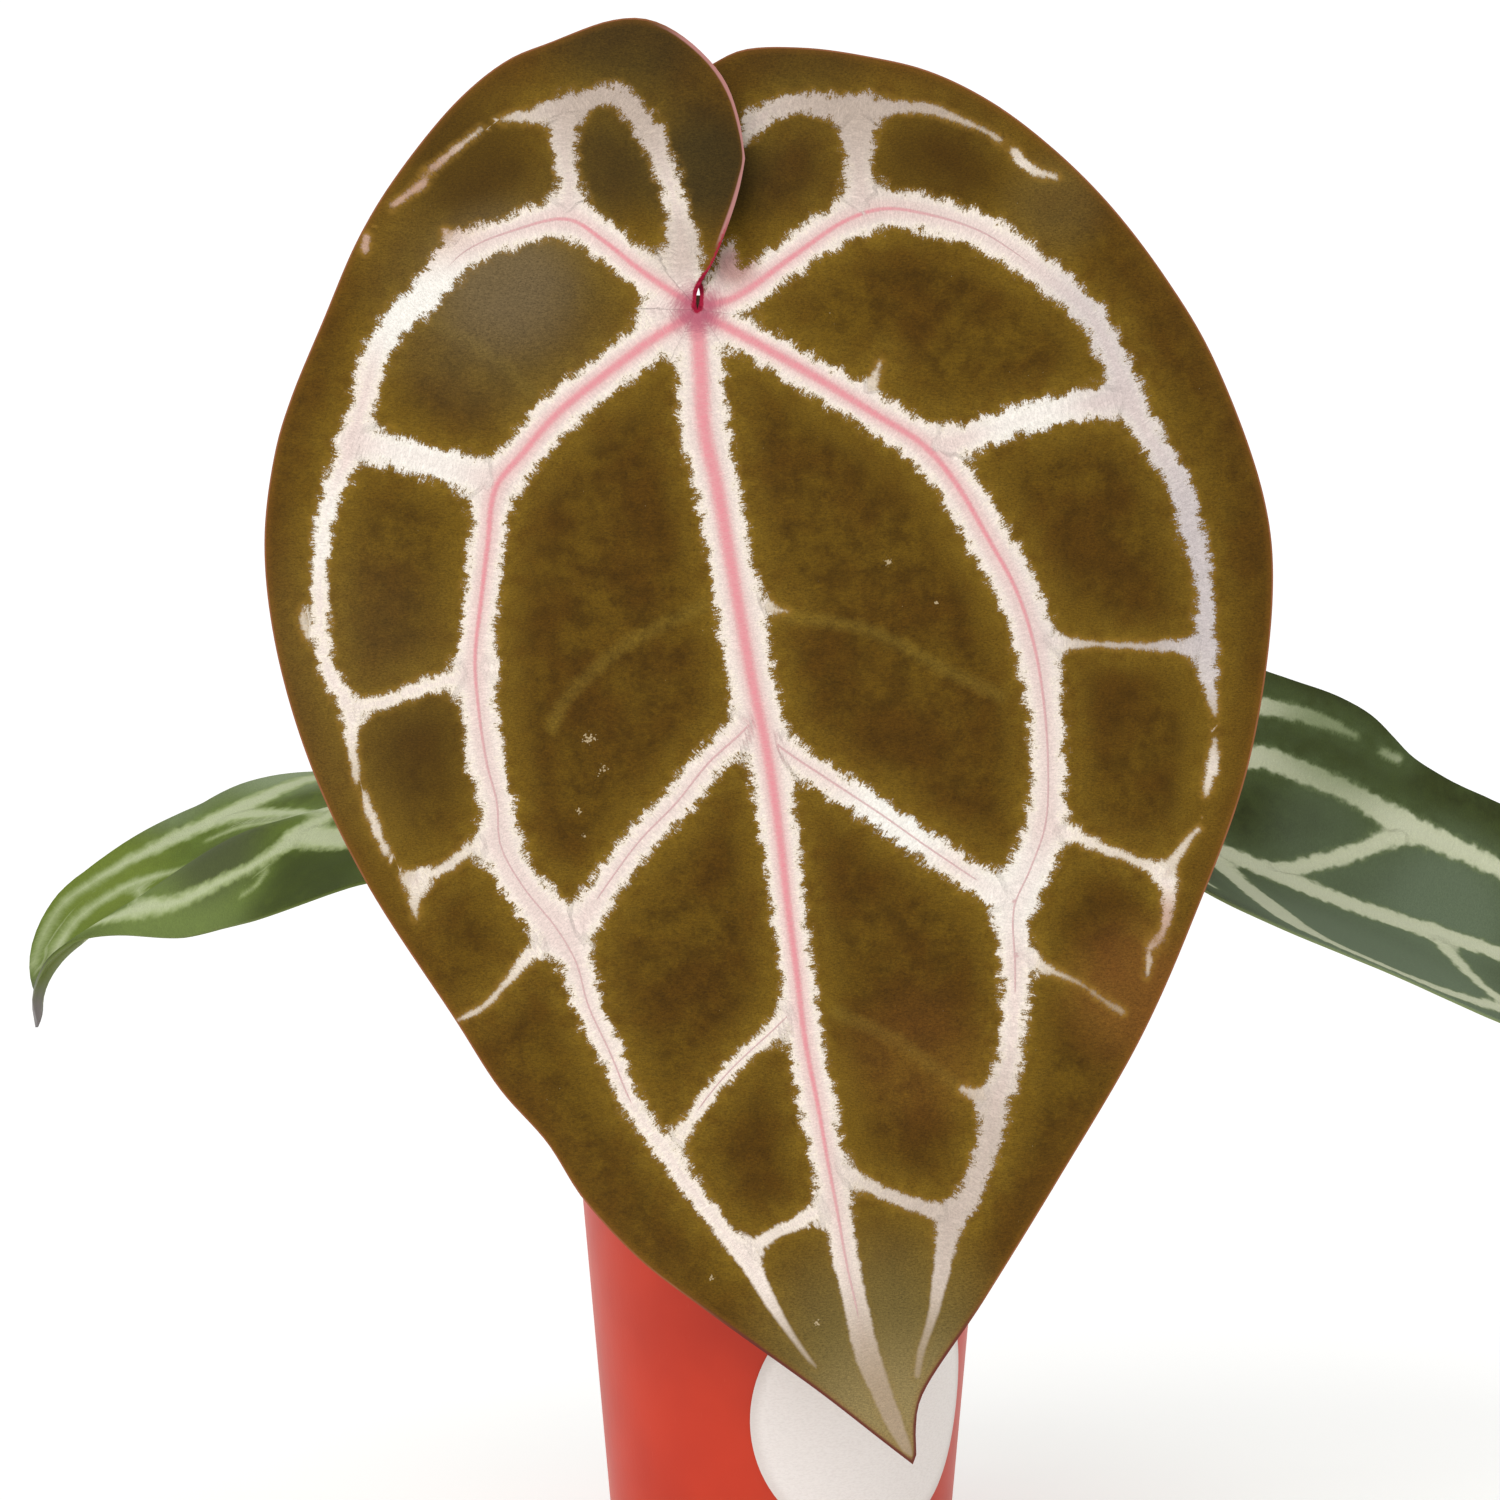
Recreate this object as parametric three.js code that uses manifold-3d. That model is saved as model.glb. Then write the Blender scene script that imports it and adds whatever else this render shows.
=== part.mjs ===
// Potted anthurium hybrid in an 85 mm nursery pot.
// Millimetres, +Z up. The origin is the centre of the pot's underside, on the surface it stands on.
// The big front leaf faces -Y, and +X is to the viewer's right.

import * as THREE from 'three';
import { mergeVertices } from 'three/addons/utils/BufferGeometryUtils.js';
import Module from 'manifold-3d';

const wasm = await Module();
wasm.setup();

// Driving dimensions: the pot and what fills it
const POT_TOP_RADIUS = 42.5;
const POT_BASE_RADIUS = 34;
const POT_HEIGHT = 85;
const POT_WALL = 1.4;
const POT_RIM_DEPTH = 9;
const POT_RIM_STEP = 0.9;
const FOOT_RING_WIDTH = 4;
const CHANNEL_HEIGHT = 3;
const CENTRE_PAD_RADIUS = 12;
const DRAIN_HOLES = 6;
const DRAIN_RADIUS = 3.2;
const ROUND_SIDES = 40;
const GAP = 0.3;
const TUNNEL_GAP = 0.6;
const MIX_TOP = 75;
const MIX_HEAP = 2.5;
const BARK_LUMPS = 26;
const BARK_SIZE = [7.5, 5, 3.4];

// Driving dimensions: the sticker
const LABEL_RADIUS = 26;
const LABEL_THICKNESS = 0.4;
const LABEL_HEIGHT = 39;
const LABEL_TURN = THREE.MathUtils.degToRad(30);

// Driving dimensions: stem, roots and stalks
const STEM_RADIUS = 6.5;
const STEM_FOOT = 58;
const STEM_TOP = 92;
const STEM_SIDES = 14;
const ROOT_RADIUS = 2;
const ROOT_COUNT = 6;
const ROOT_REACH = 21;
const ROOT_END_HEIGHT = 22;
const ROOT_BEND_HEIGHT = STEM_FOOT - 14;
const STALK_RADIUS = 2.3;
const STALK_JOINT_RADIUS = 3.1;
const STALK_FOOT_RADIUS = 3.4;
const STALK_SIDES = 10;
const STALK_STEPS = 15;
const CUSHION_LENGTH = 5;
const CUSHION_RADIUS = 4.3;
const BRACT_SPREAD = THREE.MathUtils.degToRad(75);
const BRACT_CLEARANCE = 0.6;

// Driving dimensions: the blades
const BLADE_THICKNESS = 0.8;
const VIEW_DISTANCE = 600;
const VIEW_SIDE = -6.4;
const VIEW_HEIGHT = 167.3;
const FRONT_LEAF_Y = -70;
const FRONT_JUNCTION = new THREE.Vector3(-16, FRONT_LEAF_Y, 247.3);
const LEFT_JUNCTION = new THREE.Vector3(-40, 12, 162);
const RIGHT_JUNCTION = new THREE.Vector3(85.8, 25, 149.7);
const NOTCH_OPENING = THREE.MathUtils.degToRad(28);
const NOTCH_SIZE = 5;
const LOBE_OFFSET = 3.4;
const FRONT_FOLD = { right: { depth: 11, width: 98 }, left: { depth: 6, width: 82 } };
const FRONT_RIB_LEAN = 0.175;
const MARGIN_WAVE = { front: 1.6, side: 1.3 };
const RIB_HEIGHT = { front: 1.1, side: 0.7 };
const RIB_WIDTH = 3.2;

const degrees = THREE.MathUtils.degToRad;
const smooth = THREE.MathUtils.smoothstep;
const mix = THREE.MathUtils.lerp;
const v3 = (x, y, z) => new THREE.Vector3(x, y, z);

// Solids and meshes
function toSolid(geometry) {
  const plain = geometry.clone();
  for (const name of Object.keys(plain.attributes)) {
    if (name !== 'position') plain.deleteAttribute(name);
  }
  const merged = mergeVertices(plain, 1e-4);
  return new wasm.Manifold(new wasm.Mesh({
    numProp: 3,
    vertProperties: Float32Array.from(merged.attributes.position.array),
    triVerts: Uint32Array.from(merged.index.array),
  }));
}

function toGeometry(solid) {
  const { vertProperties, triVerts } = solid.getMesh();
  const geometry = new THREE.BufferGeometry();
  geometry.setAttribute('position', new THREE.BufferAttribute(vertProperties, 3));
  geometry.setIndex(new THREE.BufferAttribute(triVerts, 1));
  return geometry;
}

function piece(name, geometry, color, roughness) {
  const material = new THREE.MeshStandardMaterial({ color, roughness, metalness: 0, flatShading: true });
  const mesh = new THREE.Mesh(geometry, material);
  mesh.name = name;
  return mesh;
}

// A turned shape about the vertical axis, from [radius, height] pairs.
function turned(profile, sides = ROUND_SIDES) {
  const points = profile.map(([radius, height]) => new THREE.Vector2(radius, height));
  return new THREE.LatheGeometry(points, sides).rotateX(Math.PI / 2);
}

// A round rod along a curve, whose radius follows radiusAt(share of its length).
function rod(curve, radiusAt, sides, steps) {
  const circle = new THREE.Shape().absarc(0, 0, 1, 0, 2 * Math.PI);
  const geometry = new THREE.ExtrudeGeometry(circle, {
    steps, curveSegments: sides / 2, extrudePath: curve, bevelEnabled: false,
  });
  const centres = curve.getSpacedPoints(steps);
  const position = geometry.attributes.position;
  const point = new THREE.Vector3();
  for (let i = 0; i < position.count; i += 1) {
    point.fromBufferAttribute(position, i);
    let nearest = 0;
    centres.forEach((centre, k) => {
      if (centre.distanceToSquared(point) < centres[nearest].distanceToSquared(point)) nearest = k;
    });
    const centre = centres[nearest];
    point.sub(centre).multiplyScalar(radiusAt(nearest / steps)).add(centre);
    position.setXYZ(i, point.x, point.y, point.z);
  }
  return geometry;
}

// The pot: one moulded plastic shell with a stepped rim, a foot ring and a raised ring of drain holes.
const potSlope = (POT_TOP_RADIUS - POT_RIM_STEP - POT_BASE_RADIUS) / POT_HEIGHT;
const potOutside = (height) => POT_BASE_RADIUS + potSlope * height;
const potInside = (height) => potOutside(height) - POT_WALL;

function makePot() {
  const rimFoot = POT_HEIGHT - POT_RIM_DEPTH;
  const footInner = POT_BASE_RADIUS - FOOT_RING_WIDTH;
  const floor = CHANNEL_HEIGHT + POT_WALL;
  const shell = toSolid(turned([
    [0, 0], [CENTRE_PAD_RADIUS, 0],
    [CENTRE_PAD_RADIUS + 1, CHANNEL_HEIGHT], [footInner - 1, CHANNEL_HEIGHT],
    [footInner, 0], [POT_BASE_RADIUS - 1, 0],
    [POT_BASE_RADIUS, 1.2],
    [potOutside(rimFoot), rimFoot], [potOutside(rimFoot) + POT_RIM_STEP, rimFoot + 0.8],
    [POT_TOP_RADIUS, POT_HEIGHT - 0.6], [POT_TOP_RADIUS - 0.6, POT_HEIGHT],
    [potInside(POT_HEIGHT) + 0.5, POT_HEIGHT], [potInside(POT_HEIGHT), POT_HEIGHT - 0.6],
    [potInside(floor), floor], [CENTRE_PAD_RADIUS, floor], [CENTRE_PAD_RADIUS - 1, POT_WALL],
    [0, POT_WALL],
  ]));
  const holeRing = (CENTRE_PAD_RADIUS + footInner) / 2;
  let pot = shell;
  for (let i = 0; i < DRAIN_HOLES; i += 1) {
    const turn = (i + 0.5) * 2 * Math.PI / DRAIN_HOLES;
    const hole = new THREE.CylinderGeometry(DRAIN_RADIUS, DRAIN_RADIUS, 4 * POT_WALL, 12)
      .rotateX(Math.PI / 2)
      .translate(holeRing * Math.cos(turn), holeRing * Math.sin(turn), floor - POT_WALL / 2);
    pot = pot.subtract(toSolid(hole));
  }
  return piece('pot', toGeometry(pot), 0xca4d33, 0.4);
}

// The round paper sticker, wrapped on the pot's tapering wall.
function makeLabel() {
  const disc = new THREE.Shape().absarc(0, 0, LABEL_RADIUS, 0, 2 * Math.PI);
  const geometry = new THREE.ExtrudeGeometry(disc, {
    depth: LABEL_THICKNESS, curveSegments: 20, bevelEnabled: false,
  });
  const sheet = toSolid(geometry).refineToLength(7);
  const wrapped = toGeometry(sheet);
  const position = wrapped.attributes.position;
  for (let i = 0; i < position.count; i += 1) {
    const height = LABEL_HEIGHT + position.getY(i);
    const wall = potOutside(height);
    const turn = LABEL_TURN + position.getX(i) / wall;
    const radius = wall + GAP + position.getZ(i);
    position.setXYZ(i, radius * Math.sin(turn), -radius * Math.cos(turn), height);
  }
  return piece('label', wrapped, 0xded4cd, 0.6);
}

// The stalks' routes, from the stem's flank to the underside of each blade.
const stalkRoutes = {
  front: [v3(0, -4.5, 80), v3(-1, -10, 91), v3(-4, -20, 125), v3(-9, -35, 180), v3(-12.5, -47, 218),
    v3(-14.5, -53.5, 236), v3(-15.5, -58.2, 243.5), v3(-15.9, -62.1, 246.4), v3(-16, -66.1, 247)],
  left: [v3(-4, 2, 79), v3(-10, 4.5, 88), v3(-18, 9, 108), v3(-29, 13, 134), v3(-38, 14.2, 153.5),
    v3(-40.2, 12.6, 159.8)],
  right: [v3(4, 2.5, 79), v3(11, 5.5, 87), v3(26, 12, 99), v3(53, 22, 117), v3(73, 29, 133),
    v3(82, 30, 142.5), v3(85, 26.8, 147.6)],
};

// The roots: one bundle of fleshy roots that spread and sink from a collar under the stem.
function rootSolid(extra) {
  const collar = turned([
    [0, STEM_FOOT - 9 - extra], [STEM_RADIUS - 1 + extra, STEM_FOOT - 7 - extra],
    [STEM_RADIUS - 1 + extra, STEM_FOOT - GAP + extra], [0, STEM_FOOT - GAP + extra],
  ], 14);
  let bundle = toSolid(collar);
  for (let i = 0; i < ROOT_COUNT; i += 1) {
    const turn = (i + 0.2 * Math.sin(5 * i)) * 2 * Math.PI / ROOT_COUNT;
    const reach = ROOT_REACH + 3 * Math.sin(3.7 * i);
    const end = ROOT_END_HEIGHT + 9 * Math.cos(2.3 * i);
    const across = (share, height, swing = 0) => v3(
      reach * share * Math.cos(turn + swing), reach * share * Math.sin(turn + swing), height);
    const route = new THREE.CatmullRomCurve3([
      across(0.06, STEM_FOOT - 5), across(0.4, STEM_FOOT - 8), across(0.8, ROOT_BEND_HEIGHT, 0.15),
      across(1, mix(ROOT_BEND_HEIGHT, end, 0.5), 0.25), across(0.92, end, 0.15),
    ]);
    const root = rod(route, (share) => extra + ROOT_RADIUS * mix(1, 0.6, share), 6, 7);
    bundle = bundle.add(toSolid(root));
  }
  return bundle;
}

// The stem: short and upright, ringed with leaf scars, with a cushion that each stalk grows from.
function stemSolid(extra) {
  const rings = [];
  for (let i = 0; i <= 8; i += 1) {
    const height = mix(STEM_FOOT, STEM_TOP - 3, i / 8);
    const ripple = i % 2 ? 0.5 : 0;
    rings.push([STEM_RADIUS * mix(1, 0.82, i / 8) + ripple + extra, height]);
  }
  const crown = [[2 + extra, STEM_TOP], [0, STEM_TOP + 0.5]];
  let stem = toSolid(turned([[0, STEM_FOOT - extra], ...rings, ...crown], STEM_SIDES));
  for (const route of Object.values(stalkRoutes)) {
    const curve = new THREE.CatmullRomCurve3(route);
    const share = (STEM_RADIUS + CUSHION_LENGTH) / curve.getLength();
    const foot = new THREE.CatmullRomCurve3([0, 0.33, 0.67, 1].map((k) => curve.getPointAt(k * share)));
    const radiusAt = (k) => mix(CUSHION_RADIUS, STALK_FOOT_RADIUS, k) + extra;
    stem = stem.add(toSolid(rod(foot, radiusAt, STALK_SIDES, 3)));
  }
  return stem;
}

// One stalk, thick at its foot and in the joint under its blade.
function makeStalk(name, route, color) {
  const whole = new THREE.CatmullRomCurve3(route);
  const length = whole.getLength();
  const start = (STEM_RADIUS + CUSHION_LENGTH + 2 * GAP) / length;
  const shares = Array.from({ length: 9 }, (_, i) => mix(start, 1, i / 8));
  const curve = new THREE.CatmullRomCurve3(shares.map((share) => whole.getPointAt(share)));
  const radiusAt = (share) => STALK_RADIUS
    + (STALK_FOOT_RADIUS - STALK_RADIUS) * (1 - smooth(share, 0, 0.16))
    + (STALK_JOINT_RADIUS - STALK_RADIUS) * smooth(share, 0.88, 0.95);
  return piece(`petiole_${name}`, rod(curve, radiusAt, STALK_SIDES, STALK_STEPS), color, 0.5);
}

// The papery bract at a stalk's foot: a thin leaf-shaped scale that wraps the stalk's outer side.
function makeBract(name, route, height) {
  const curve = new THREE.CatmullRomCurve3(route);
  const length = curve.getLength();
  const foot = STEM_RADIUS + CUSHION_LENGTH + 1;
  const start = curve.getPointAt(foot / length);
  const outward = v3(start.x, start.y, 0).normalize();
  const across = 6;
  const rows = 6;
  const place = (i, j, depth) => {
    const up = j / rows;
    const along = (foot + height * up) / length;
    const tangent = curve.getTangentAt(along);
    const out = outward.clone().addScaledVector(tangent, -outward.dot(tangent)).normalize();
    const side = tangent.clone().cross(out);
    const turn = (BRACT_SPREAD * (1 - up ** 2.2) + degrees(4)) * (i / across * 2 - 1);
    const radius = STALK_FOOT_RADIUS + BRACT_CLEARANCE + 2.4 * up ** 2 + depth;
    return curve.getPointAt(along)
      .addScaledVector(out, radius * Math.cos(turn))
      .addScaledVector(side, radius * Math.sin(turn));
  };
  return piece(`bract_${name}`, sheetGeometry(across, rows, place), 0x9b7440, 0.8);
}

// A closed thin sheet from a grid of places, with the same triangles on both of its faces.
function sheetGeometry(across, rows, place) {
  const positions = [];
  const index = [];
  const at = (i, j, back) => (back * (rows + 1) + j) * (across + 1) + i;
  for (const back of [0, 1]) {
    for (let j = 0; j <= rows; j += 1) {
      for (let i = 0; i <= across; i += 1) positions.push(...place(i, j, back * BLADE_THICKNESS));
    }
  }
  const quad = (a, b, c, d) => index.push(a, b, c, a, c, d);
  for (let j = 0; j < rows; j += 1) {
    for (let i = 0; i < across; i += 1) {
      index.push(at(i, j, 1), at(i + 1, j, 1), at(i + 1, j + 1, 1));
      index.push(at(i, j, 1), at(i + 1, j + 1, 1), at(i, j + 1, 1));
      index.push(at(i, j, 0), at(i + 1, j + 1, 0), at(i + 1, j, 0));
      index.push(at(i, j, 0), at(i, j + 1, 0), at(i + 1, j + 1, 0));
    }
    quad(at(0, j, 0), at(0, j, 1), at(0, j + 1, 1), at(0, j + 1, 0));
    quad(at(across, j, 1), at(across, j, 0), at(across, j + 1, 0), at(across, j + 1, 1));
  }
  for (let i = 0; i < across; i += 1) {
    quad(at(i + 1, 0, 0), at(i + 1, 0, 1), at(i, 0, 1), at(i, 0, 0));
    quad(at(i, rows, 0), at(i, rows, 1), at(i + 1, rows, 1), at(i + 1, rows, 0));
  }
  const geometry = new THREE.BufferGeometry();
  geometry.setAttribute('position', new THREE.Float32BufferAttribute(positions, 3));
  geometry.setIndex(index);
  return geometry;
}

// The potting mix: it fills the pot, heaped a little round the stem, with bark lumps on top and plain
// holes that the stem and the roots stand in.
function makeMix() {
  const floor = CHANNEL_HEIGHT + POT_WALL + GAP;
  const inside = (height) => potInside(height) - GAP;
  const body = turned([
    [0, POT_WALL + GAP], [CENTRE_PAD_RADIUS - 1 - GAP, POT_WALL + GAP], [CENTRE_PAD_RADIUS - 0.3, floor],
    [inside(floor), floor], [inside(30), 30], [inside(55), 55], [inside(MIX_TOP - 1), MIX_TOP - 1],
    [inside(MIX_TOP) - 3, MIX_TOP], [30, MIX_TOP + 0.3], [22, MIX_TOP + 1], [14, MIX_TOP + 2],
    [0, MIX_TOP + MIX_HEAP],
  ]);
  const position = body.attributes.position;
  for (let i = 0; i < position.count; i += 1) {
    const [x, y, z] = [position.getX(i), position.getY(i), position.getZ(i)];
    const lumps = 0.9 * Math.sin(0.41 * x + 1.3) * Math.cos(0.37 * y - 0.6);
    const grit = 0.5 * Math.sin(0.9 * x - 0.7 * y);
    if (z > MIX_TOP - 0.5) position.setZ(i, z + lumps + grit);
  }
  let heap = toSolid(body);
  for (let i = 0; i < BARK_LUMPS; i += 1) {
    const turn = 2.4 * i;
    const reach = 12 + 23.5 * Math.sqrt((i + 0.5) / BARK_LUMPS);
    const size = 1 + 0.4 * Math.sin(1.9 * i);
    const lump = new THREE.BoxGeometry(...BARK_SIZE.map((edge) => edge * size))
      .rotateX(0.35 * Math.sin(2.1 * i))
      .rotateY(0.35 * Math.cos(1.7 * i))
      .rotateZ(1.3 * i)
      .translate(reach * Math.cos(turn), reach * Math.sin(turn), MIX_TOP + 0.6);
    heap = heap.add(toSolid(lump));
  }
  const cup = turned([[0, 0], [inside(0), 0], [inside(POT_HEIGHT), POT_HEIGHT], [0, POT_HEIGHT]]);
  const filled = heap.intersect(toSolid(cup));
  return filled.subtract(stemSolid(GAP)).subtract(rootSolid(TUNNEL_GAP));
}

// A leaf blade as a fan of rays from the point where the stalk joins it. The rays end on the outline,
// which runs from the left side of the notch, down round the tip, to the notch's right side.
function bladeGeometry({ outline, rays, rings, place, thickness }) {
  const margins = outline.map((side) => new THREE.CatmullRomCurve3(
    side.map(([a, b]) => v3(a, b, 0)), false, 'centripetal'));
  const half = rays / 2;
  const edge = Array.from({ length: rays + 1 }, (_, i) => (i <= half
    ? margins[0].getPointAt(i / half)
    : margins[1].getPointAt((i - half) / half)));
  const front = [place(0, 0, 0, 0)];
  const flat = [{ a: 0, b: 0, share: 0 }];
  for (let ring = 1; ring <= rings; ring += 1) {
    const share = (ring / rings) ** 0.8;
    edge.forEach((end, i) => {
      const side = 2 * i / rays - 1;
      front.push(place(end.x * share, end.y * share, side, share));
      flat.push({ a: end.x * share, b: end.y * share, share });
    });
  }
  const at = (ring, i) => (ring === 0 ? 0 : 1 + (ring - 1) * (rays + 1) + i);
  const triangles = [];
  for (let i = 0; i < rays; i += 1) {
    triangles.push([0, at(1, i), at(1, i + 1)]);
    for (let ring = 1; ring < rings; ring += 1) {
      triangles.push([at(ring, i), at(ring + 1, i), at(ring + 1, i + 1)]);
      triangles.push([at(ring, i), at(ring + 1, i + 1), at(ring, i + 1)]);
    }
  }
  const sheet = new THREE.BufferGeometry().setFromPoints(front);
  sheet.setIndex(triangles.flat());
  sheet.computeVertexNormals();
  const count = front.length;
  const normal = new THREE.Vector3();
  const back = front.map((point, i) => {
    normal.fromBufferAttribute(sheet.attributes.normal, i);
    return point.clone().addScaledVector(normal, -thickness(flat[i]));
  });
  const index = [];
  for (const [a, b, c] of triangles) index.push(a, b, c, count + a, count + c, count + b);
  const wall = (a, b) => index.push(b, a, count + a, b, count + a, count + b);
  for (let ring = 0; ring < rings; ring += 1) {
    wall(at(ring, 0), at(ring + 1, 0));
    wall(at(ring + 1, rays), at(ring, rays));
  }
  for (let i = 0; i < rays; i += 1) wall(at(rings, i), at(rings, i + 1));
  const geometry = new THREE.BufferGeometry().setFromPoints([...front, ...back]);
  geometry.setIndex(index);
  return geometry;
}

// How far a flat point lies from a rib that runs through the given points.
function ribDistance(rib, { a, b }) {
  let nearest = Infinity;
  const line = new THREE.Line3();
  const foot = new THREE.Vector3();
  const point = v3(a, b, 0);
  for (let i = 0; i + 1 < rib.length; i += 1) {
    line.set(v3(...rib[i], 0), v3(...rib[i + 1], 0));
    line.closestPointToPoint(point, true, foot);
    nearest = Math.min(nearest, foot.distanceTo(point));
  }
  return nearest;
}

// Blades are thicker where their ribs stand out underneath.
function ribbed(ribs, height, width) {
  return (flat) => {
    const relief = ribs.map((rib) => Math.exp(-((ribDistance(rib, flat) / width) ** 2)));
    return BLADE_THICKNESS + height * (1 - 0.6 * flat.share) * Math.max(...relief);
  };
}

// The front leaf, drawn flat in millimetres from its junction: across to the right, and up.
const frontOutline = [
  [
    [8.7, 27.6], [7.6, 34.7], [4.6, 42.4], [-2.6, 49.8], [-9.1, 52.9], [-15.6, 52.7], [-26.7, 48.7],
    [-34.4, 45.5], [-43.5, 38.2], [-55.3, 23.6], [-61.8, 12.7], [-68, -1.8], [-74, -16.4], [-76.7, -25.5],
    [-78.7, -41.8], [-76.9, -60], [-70.7, -81.8], [-60.5, -103.6], [-44, -129.1], [-35.8, -141.8],
    [-27.3, -151.4], [-20.9, -161.4], [-10.4, -172.7], [0.9, -181.4], [22.4, -196.9], [34.5, -206.3],
    [39.2, -209.9],
  ],
  [
    [39.2, -209.9], [40.2, -208.3], [39.5, -203.1], [40.5, -198.1], [52, -180.3], [65.6, -158.2],
    [80.5, -132.7], [90, -111.3], [100.2, -82.9], [104.7, -50.9], [103.1, -34.2], [93.8, -8.6],
    [85.6, 5.3], [75.1, 19.1], [64.5, 29.6], [53.3, 38], [42, 43.5], [30.7, 46.2], [19.5, 47.7],
    [8.2, 47.3], [2.7, 44.7], [-1.3, 42], [-4.5, 37.3], [-5.5, 30.9],
  ],
];
const frontRibs = [
  [[0, 0], [2, -24], [7.5, -60], [13.5, -93], [18, -125], [24, -155], [29, -180], [39, -209]],
  [[0, 0], [-17, -12], [-35, -30], [-40, -64], [-37, -89], [-22, -115], [-12, -138], [6, -168], [21, -192]],
  [[0, 0], [19, -10], [47, -28], [60, -52], [64, -80], [58, -108], [57, -135], [46, -165], [40, -193]],
  [[0, 0], [-24, 17], [-46, 6], [-61, -17], [-68.5, -49], [-64, -73], [-62, -85]],
  [[0, 0], [30, 19], [57, 11], [79, -8], [90, -42], [93, -70], [93, -87]],
];
const frontProfile = new THREE.CatmullRomCurve3([
  v3(70, 17, 0), v3(45, 9, 0), v3(20, 2, 0), v3(0, 0, 0), v3(-45, -4, 0), v3(-100, -5, 0), v3(-160, 0, 0),
  v3(-215, 8, 0),
], false, 'centripetal');

// How far back the profile lies at a height above the junction.
function frontSetBack(height) {
  let [low, high] = [0, 1];
  for (let i = 0; i < 24; i += 1) {
    const middle = (low + high) / 2;
    if (frontProfile.getPoint(middle).x > height) low = middle;
    else high = middle;
  }
  return frontProfile.getPoint(low).y;
}

// The front blade's place in space. Seen from the view point, its outline keeps the flat drawing's shape.
function placeFront(a, b, side, share) {
  const radius = Math.hypot(a, b);
  const notch = Math.sign(side) * smooth(Math.abs(side), 0.86, 1);
  const turn = -notch * NOTCH_OPENING * Math.exp(-((radius / NOTCH_SIZE) ** 2));
  const across = a * Math.cos(turn) - b * Math.sin(turn);
  const up = a * Math.sin(turn) + b * Math.cos(turn);
  const fromRib = across + FRONT_RIB_LEAN * up;
  const lobe = Math.sign(side) * smooth(Math.abs(side), 0.72, 0.97) * smooth(radius, 0, 16) * LOBE_OFFSET;
  const half = fromRib > 0 ? FRONT_FOLD.right : FRONT_FOLD.left;
  const fold = half.depth * (fromRib / half.width) ** 2;
  const wave = MARGIN_WAVE.front * share ** 5 * Math.sin(side * 21 + 0.7) * (1 - smooth(Math.abs(side), 0.8, 1));
  const depth = FRONT_LEAF_Y + frontSetBack(up) + fold + lobe + wave;
  const scale = (VIEW_DISTANCE + depth) / (VIEW_DISTANCE + FRONT_LEAF_Y);
  return v3(
    VIEW_SIDE + (FRONT_JUNCTION.x + across - VIEW_SIDE) * scale,
    depth,
    VIEW_HEIGHT + (FRONT_JUNCTION.z + up - VIEW_HEIGHT) * scale,
  );
}

// A side leaf bends over a curved spine. Across the spine each half tilts by its own angle.
function sideLeaf({ spine, right, junctionShare, tiltRight, tiltLeft, wavePhase }) {
  const curve = new THREE.CatmullRomCurve3(spine, false, 'centripetal');
  const length = curve.getLength();
  return (a, b, side, share) => {
    const along = THREE.MathUtils.clamp(junctionShare - b / length, 0, 1);
    const centre = curve.getPointAt(along);
    const tangent = curve.getTangentAt(along);
    const across = right.clone().addScaledVector(tangent, -right.dot(tangent)).normalize();
    const up = tangent.clone().cross(across);
    const outer = a > 0 ? tiltRight : tiltLeft;
    const middle = (tiltRight[0] - tiltLeft[0]) / 2;
    const slices = 8;
    let reach = 0;
    let rise = 0;
    for (let i = 0; i < slices; i += 1) {
      const width = Math.abs(a) * (i + 0.5) / slices;
      const start = a > 0 ? middle : -middle;
      const tilt = mix(start, mix(outer[0], outer[1], along ** 1.3), smooth(width, 0, 16));
      reach += Math.cos(tilt) * Math.abs(a) / slices;
      rise += Math.sin(tilt) * Math.abs(a) / slices;
    }
    rise += MARGIN_WAVE.side * share ** 4 * Math.sin(side * 16 + wavePhase);
    return centre.addScaledVector(across, Math.sign(a) * reach).addScaledVector(up, rise);
  };
}

function heart(rightHalf, leftHalf, tip) {
  const left = leftHalf.map(([a, b]) => [-a, b]);
  return [[...left, tip], [tip, ...rightHalf.toReversed()]];
}

const LEFT_TIP = [0, -141];
const RIGHT_TIP = [0, -122];
const leftHalfOutline = [
  [3, 12], [7, 25], [18, 35], [32, 32], [43, 18], [48, -2], [48, -28], [44, -52], [37, -73], [29, -91],
  [22, -105], [14, -116], [7, -127], [3, -134],
];
const rightFarOutline = [
  [3, 12], [7, 24], [18, 33], [33, 29], [45, 14], [50, -6], [49, -28], [44, -50], [37, -70], [27, -90],
  [15, -107], [4, -118],
];
const rightNearOutline = rightFarOutline.map(([a, b]) => [a * 0.94, b]);

function sideRibs(tip, width) {
  return [
    [[0, 0], tip],
    [[0, 0], [-width * 0.5, -14], [-width * 0.62, -45], [-width * 0.3, -95], tip],
    [[0, 0], [width * 0.5, -14], [width * 0.62, -45], [width * 0.3, -95], tip],
  ];
}

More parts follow.
